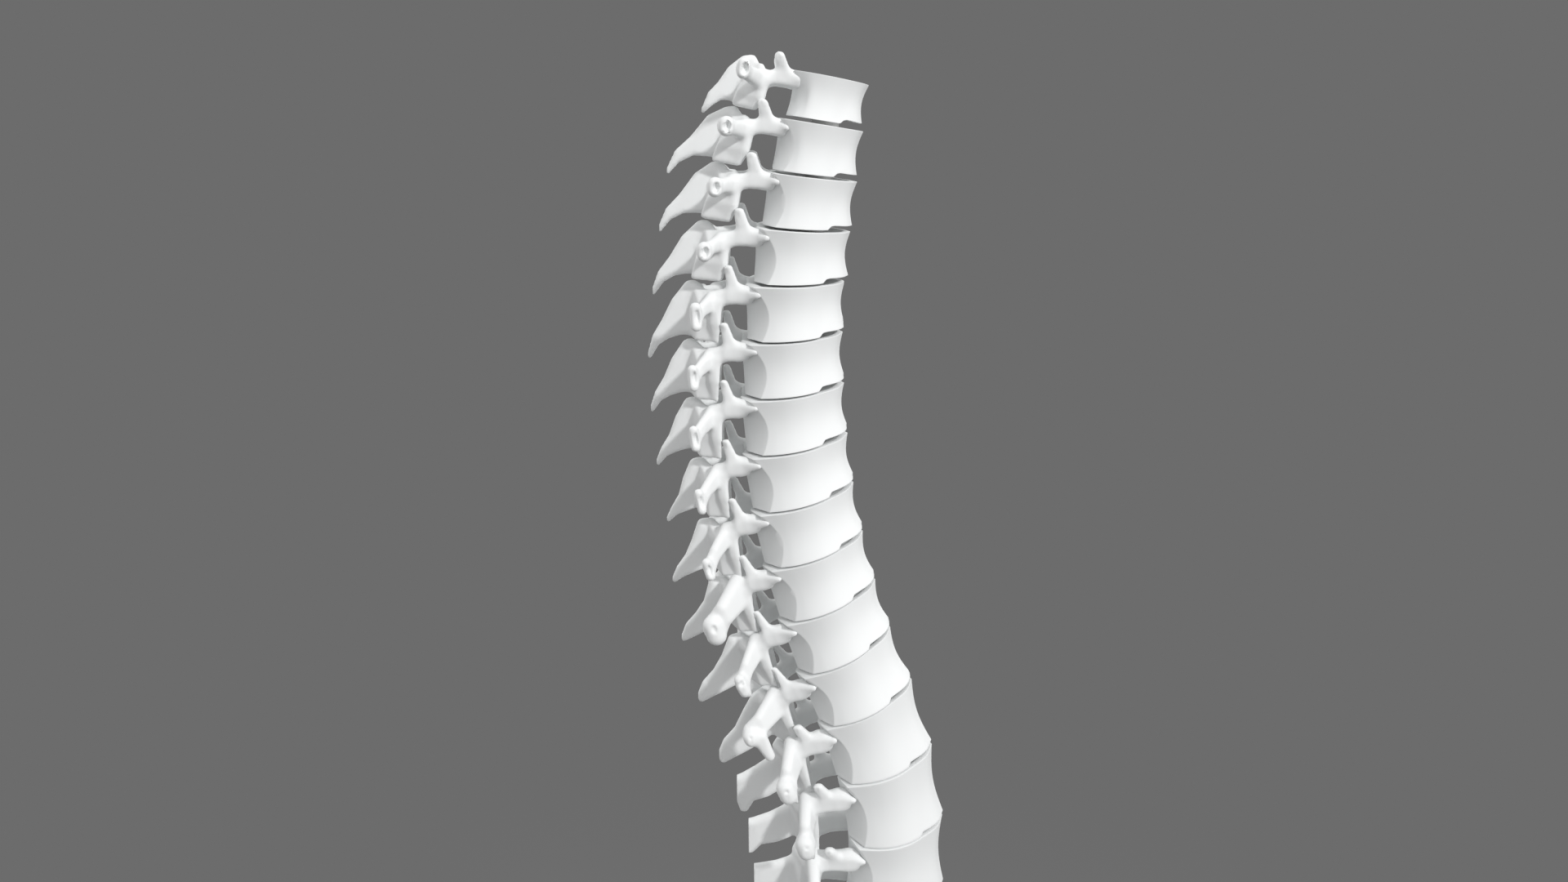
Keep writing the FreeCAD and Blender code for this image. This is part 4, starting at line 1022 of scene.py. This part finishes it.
def new_tree(name, labels):
    """A geometry node tree with some numbers and a material as inputs, and its input sockets."""
    tree = bpy.data.node_groups.new(name, "GeometryNodeTree")
    face = tree.interface
    face.new_socket(name="Geometry", in_out="INPUT", socket_type="NodeSocketGeometry")
    for label in labels:
        face.new_socket(name=label, in_out="INPUT", socket_type="NodeSocketFloat")
    face.new_socket(name="Material", in_out="INPUT", socket_type="NodeSocketMaterial")
    face.new_socket(name="Geometry", in_out="OUTPUT", socket_type="NodeSocketGeometry")
    return tree, tree.nodes.new("NodeGroupInput").outputs


def set_input(modifier, label, value):
    """Sets a node tree's named input on a modifier by its identifier."""
    for item in modifier.node_group.interface.items_tree:
        if item.item_type == "SOCKET" and item.in_out == "INPUT" and item.name == label:
            modifier[item.identifier] = value
            return
    raise RuntimeError("no input named " + label)


def named_attribute(tree, name, kind):
    """One of the points' attributes."""
    node = added(tree, "GeometryNodeInputNamedAttribute", {"Name": name}, data_type=kind)
    return node.outputs["Attribute"]


def end_on_points(tree, given, shape, sizes):
    """Ends a tree with copies of a shape on the points, turned along their axis and painted."""
    aim = added(tree, "FunctionNodeAlignRotationToVector", {
        "Vector": named_attribute(tree, "axis", "FLOAT_VECTOR")}, axis="Z")
    copies = added(tree, "GeometryNodeInstanceOnPoints", {
        "Points": given["Geometry"], "Instance": shape, "Rotation": aim.outputs["Rotation"], **sizes})
    real = added(tree, "GeometryNodeRealizeInstances", {"Geometry": copies.outputs["Instances"]})
    paint = added(tree, "GeometryNodeSetMaterial", {
        "Geometry": real.outputs["Geometry"], "Material": given["Material"]})
    fed(tree, tree.nodes.new("NodeGroupOutput"), {"Geometry": paint.outputs["Geometry"]})


def ring_tree():
    """Rings with rounded edges on points."""
    tree, given = new_tree("spacer_rings", ["Middle Radius", "Wall", "Height", "Rounding"])
    path = added(tree, "GeometryNodeCurvePrimitiveCircle", {
        "Resolution": RING_CUTS, "Radius": given["Middle Radius"]})
    profile = added(tree, "GeometryNodeCurvePrimitiveQuadrilateral", {
        "Width": given["Wall"], "Height": given["Height"]})
    edged = added(tree, "GeometryNodeFilletCurve", {
        "Count": RING_EDGE_CUTS, "Radius": given["Rounding"], "Curve": profile.outputs["Curve"],
    }, mode="POLY")
    sweep = added(tree, "GeometryNodeCurveToMesh", {
        "Curve": path.outputs["Curve"], "Profile Curve": edged.outputs["Curve"]})
    size = added(tree, "ShaderNodeCombineXYZ", {
        "X": 1.0, "Y": 1.0, "Z": named_attribute(tree, "tall", "FLOAT")})
    end_on_points(tree, given, sweep.outputs["Mesh"], {"Scale": size.outputs["Vector"]})
    return tree


def thread_tree():
    """A thread's ridge wound round an axis, on points."""
    tree, given = new_tree("rod_thread", ["Radius", "Pitch", "Length", "Depth"])
    turns = added(tree, "ShaderNodeMath", {0: given["Length"], 1: given["Pitch"]}, operation="DIVIDE")
    helix = added(tree, "GeometryNodeCurveSpiral", {
        "Resolution": THREAD_CUTS, "Rotations": turns.outputs[0], "Start Radius": given["Radius"],
        "End Radius": given["Radius"], "Height": given["Length"]})
    ridge = added(tree, "GeometryNodeCurvePrimitiveCircle", {
        "Resolution": THREAD_SIDES, "Radius": given["Depth"]})
    sweep = added(tree, "GeometryNodeCurveToMesh", {
        "Fill Caps": True, "Curve": helix.outputs["Curve"], "Profile Curve": ridge.outputs["Curve"]})
    end_on_points(tree, given, sweep.outputs["Mesh"], {})
    return tree


def points_mesh(name, places, axes, heights):
    """Loose points with the axis and height that the node trees read."""
    mesh = bpy.data.meshes.new(name)
    mesh.from_pydata([tuple(place) for place in places], [], [])
    axis = mesh.attributes.new("axis", "FLOAT_VECTOR", "POINT")
    axis.data.foreach_set("vector", [value for one in axes for value in one])
    tall = mesh.attributes.new("tall", "FLOAT", "POINT")
    tall.data.foreach_set("value", heights)
    return mesh


def run_tree(name, mesh, tree, values):
    """A piece made by a node tree from a mesh of points."""
    piece = new_piece(name, mesh)
    modifier = piece.modifiers.new("make", "NODES")
    modifier.node_group = tree
    for label, value in values.items():
        set_input(modifier, label, value)
    return baked(piece, name)


def ring_of(node):
    """Centre, axis, thickness, outer radius and bore radius of a ring in the CAD."""
    places = np.array([vertex.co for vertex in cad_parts[node].data.vertices])
    centre = (places.max(0) + places.min(0)) / 2
    rim_distances = np.linalg.norm(places - centre, axis=1)
    spans = np.linalg.eigh(np.cov((places - centre).T))
    axis = spans[1][:, 0]
    if axis[2] < 0:
        axis = -axis
    along = (places - centre) @ axis
    radial = np.sqrt(np.maximum(rim_distances ** 2 - along ** 2, 0))
    return (Vector(centre), Vector(axis), float(along.max() - along.min()), float(radial.max()),
            float(radial.min()))


# Stage

FLOOR_REACH = 6.0
FLOOR_CUT = 5
FADE_START = 0.12
AIM_SHARE = 0.62
KEY_PLACE = Vector((-1.5, -1.15, 1.3))
FILL_PLACE = Vector((0.9, 1.2, 0.5))
FILL_SIZE = 0.9
SENSOR_WIDTH = 36.0
CLIP_START = 0.01
CLIP_END = 50.0


def shown_light(tree):
    """1 for the rays that see the background: camera, glossy and transmission rays."""
    path = added(tree, "ShaderNodeLightPath", {})
    total = path.outputs["Is Camera Ray"]
    for name in ("Is Glossy Ray", "Is Transmission Ray"):
        either = added(tree, "ShaderNodeMath", {0: total, 1: path.outputs[name]}, operation="MAXIMUM")
        total = either.outputs[0]
    return total


def add_floor(settings):
    """A wide grey floor that fades into the background with its distance."""
    level = CAD_BOX[0].z - settings.floor_drop
    mesh = bpy.data.meshes.new("floor")
    turns = [math.radians(turn) for turn in range(0, 360, FLOOR_CUT)]
    corners = [(FLOOR_REACH * math.cos(turn), FLOOR_REACH * math.sin(turn), level) for turn in turns]
    mesh.from_pydata(corners, [], [list(range(len(corners)))])
    floor = new_piece("floor", mesh)
    material = bpy.data.materials.new("floor_paper")
    material.use_nodes = True
    tree = material.node_tree
    shader = fed(tree, tree.nodes["Principled BSDF"], {
        "Base Color": (*settings.tone, 1), "Roughness": 0.9})
    glow = added(tree, "ShaderNodeEmission", {"Color": (*settings.tone, 1)})
    place = added(tree, "ShaderNodeTexCoord", {})
    length = added(tree, "ShaderNodeVectorMath", {0: place.outputs["Object"]}, operation="LENGTH")
    fade = added(tree, "ShaderNodeMapRange", {
        "Value": length.outputs["Value"], "From Min": FADE_START, "From Max": settings.floor_clear,
    }, interpolation_type="SMOOTHSTEP")
    seen = added(tree, "ShaderNodeMath", {
        0: fade.outputs["Result"], 1: shown_light(tree)}, operation="MULTIPLY")
    mix = added(tree, "ShaderNodeMixShader", {
        "Fac": seen.outputs[0], 1: shader.outputs["BSDF"], 2: glow.outputs["Emission"]})
    fed(tree, tree.nodes["Material Output"], {"Surface": mix.outputs["Shader"]})
    floor.data.materials.append(material)


def add_lamp(name, place, aim, power, size):
    """A soft square lamp that points at a place."""
    lamp = bpy.data.lights.new(name, "AREA")
    lamp.energy = power
    lamp.size = size
    stand = bpy.data.objects.new(name, lamp)
    stand.location = place
    stand.rotation_euler = (aim - place).to_track_quat("-Z", "Y").to_euler()
    bpy.context.scene.collection.objects.link(stand)


def add_lamps(settings):
    """The main lamp in front and above on the camera's side, a soft one behind, and the sky."""
    middle = (CAD_BOX[0] + CAD_BOX[1]) / 2
    middle.z = CAD_BOX[0].z + AIM_SHARE * (CAD_BOX[1].z - CAD_BOX[0].z)
    add_lamp("key_lamp", middle + KEY_PLACE, middle, settings.key_power, settings.key_size)
    add_lamp("fill_lamp", middle + FILL_PLACE, middle, settings.fill_power, FILL_SIZE)
    world = bpy.data.worlds.new("sky")
    bpy.context.scene.world = world
    world.use_nodes = True
    tree = world.node_tree
    lit = fed(tree, tree.nodes["Background"], {"Color": (1, 1, 1, 1), "Strength": settings.sky})
    seen = added(tree, "ShaderNodeBackground", {"Color": (*settings.tone, 1), "Strength": 1.0})
    mix = added(tree, "ShaderNodeMixShader", {
        "Fac": shown_light(tree), 1: lit.outputs["Background"], 2: seen.outputs["Background"]})
    fed(tree, tree.nodes["World Output"], {"Surface": mix.outputs["Shader"]})


def add_camera(settings):
    """The camera at the photograph's place, level from side to side."""
    lens = bpy.data.cameras.new("camera")
    lens.lens = settings.lens
    lens.sensor_width = SENSOR_WIDTH
    lens.clip_start = CLIP_START
    lens.clip_end = CLIP_END
    camera = bpy.data.objects.new("camera", lens)
    yaw, pitch = settings.camera_yaw, settings.camera_pitch
    forward = Vector((math.cos(pitch) * math.cos(yaw), math.cos(pitch) * math.sin(yaw), -math.sin(pitch)))
    camera.location = settings.camera_place
    camera.rotation_euler = forward.to_track_quat("-Z", "Y").to_euler()
    bpy.context.scene.collection.objects.link(camera)
    bpy.context.scene.camera = camera


# Operators

class SPINE_OT_vertebrae(bpy.types.Operator):
    """Makes the thoracic and lumbar vertebrae's mouldings"""
    bl_idname = "spine.vertebrae"
    bl_label = "Vertebrae"

    def execute(self, context):
        material = bone_plastic(context)
        frames = column_frames()
        for level, label in enumerate(THORACIC + LUMBAR):
            node = "vertebra_" + label
            piece = vertebra(node, "moulding_" + label, level, frames[level],
                             context.scene.spine_moulding)
            finished(piece, [node], material)
        return {"FINISHED"}


class SPINE_OT_sacrum(bpy.types.Operator):
    """Makes the sacrum's and the coccyx's mouldings"""
    bl_idname = "spine.sacrum"
    bl_label = "Sacrum and coccyx"

    def execute(self, context):
        material = bone_plastic(context)
        for node in ("sacrum", "coccyx"):
            piece = rounded(merged_copy(node), "moulding_" + node, context.scene.spine_moulding)
            kept_in_box(piece, node)
            finished(piece, [node], material)
        return {"FINISHED"}


class SPINE_OT_spacers(bpy.types.Operator):
    """Makes the nylon rings between the vertebral bodies"""
    bl_idname = "spine.spacers"
    bl_label = "Spacers"

    def execute(self, context):
        settings = context.scene.spine_spacers
        centres, axes, heights, outers, bores = zip(*[ring_of(node) for node in SPACERS])
        height, outer, bore = heights[-1], outers[-1], bores[-1]
        mesh = points_mesh("spacer_points", centres, axes, [tall / height for tall in heights])
        piece = run_tree("spacer_rings", mesh, ring_tree(), {
            "Middle Radius": (outer + bore) / 2, "Wall": outer - bore, "Height": height,
            "Rounding": settings.rounding, "Material": spacer_nylon(context)})
        piece.data.shade_smooth()
        finished(piece, SPACERS, spacer_nylon(context))
        return {"FINISHED"}


class SPINE_OT_rod(bpy.types.Operator):
    """Finishes the rod, its thread and the nuts, washers and pin"""
    bl_idname = "spine.rod"
    bl_label = "Rod and fasteners"

    def execute(self, context):
        settings = context.scene.spine_metal
        steel = rod_steel(context)
        for node in ["core_rod"] + FASTENERS:
            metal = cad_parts[node]
            metal.data.materials.clear()
            metal.data.materials.append(steel)
        nut_low, nut_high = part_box("lower_nut")
        start = Vector(((nut_low.x + nut_high.x) / 2, (nut_low.y + nut_high.y) / 2,
                        nut_low.z - settings.thread_length))
        mesh = points_mesh("thread_points", [start], [Vector((0, 0, 1))], [1.0])
        piece = run_tree("rod_thread", mesh, thread_tree(), {
            "Radius": ROD_RADIUS - settings.thread_depth * THREAD_SINK, "Pitch": settings.pitch,
            "Length": settings.thread_length, "Depth": settings.thread_depth, "Material": steel})
        finished(piece, [], steel)
        return {"FINISHED"}


class SPINE_OT_stage(bpy.types.Operator):
    """Makes the floor, lamps, sky and camera"""
    bl_idname = "spine.stage"
    bl_label = "Stage"

    def execute(self, context):
        settings = context.scene.spine_stage
        add_floor(settings)
        add_lamps(settings)
        add_camera(settings)
        context.scene.view_settings.view_transform = "Standard"
        return {"FINISHED"}


# Panel and registration

OPERATORS = [SPINE_OT_vertebrae, SPINE_OT_sacrum, SPINE_OT_spacers, SPINE_OT_rod, SPINE_OT_stage]
SETTINGS = [("spine_moulding", MouldingSettings), ("spine_metal", MetalSettings),
            ("spine_spacers", SpacerSettings), ("spine_stage", StageSettings)]


class SPINE_PT_looks(bpy.types.Panel):
    """Lists the pieces of the spine model and their settings"""
    bl_idname = "SPINE_PT_looks"
    bl_label = "Spine model"
    bl_space_type = "VIEW_3D"
    bl_region_type = "UI"
    bl_category = "Spine"

    def draw(self, context):
        for operator in OPERATORS:
            self.layout.operator(operator.bl_idname)
        for name, group in SETTINGS:
            box = self.layout.box()
            for prop in group.__annotations__:
                box.prop(getattr(context.scene, name), prop)


def register():
    """Registers the settings, the operators and the panel."""
    for name, group in SETTINGS:
        bpy.utils.register_class(group)
        setattr(bpy.types.Scene, name, PointerProperty(type=group))
    for operator in OPERATORS + [SPINE_PT_looks]:
        bpy.utils.register_class(operator)


def unregister():
    """Takes the panel, the operators and the settings away again."""
    for operator in reversed(OPERATORS + [SPINE_PT_looks]):
        bpy.utils.unregister_class(operator)
    for name, group in reversed(SETTINGS):
        delattr(bpy.types.Scene, name)
        bpy.utils.unregister_class(group)


def main():
    """Makes the stage and every piece."""
    register()
    bpy.ops.spine.stage()
    bpy.ops.spine.vertebrae()
    bpy.ops.spine.sacrum()
    bpy.ops.spine.spacers()
    bpy.ops.spine.rod()


if __name__ == "__main__":
    main()
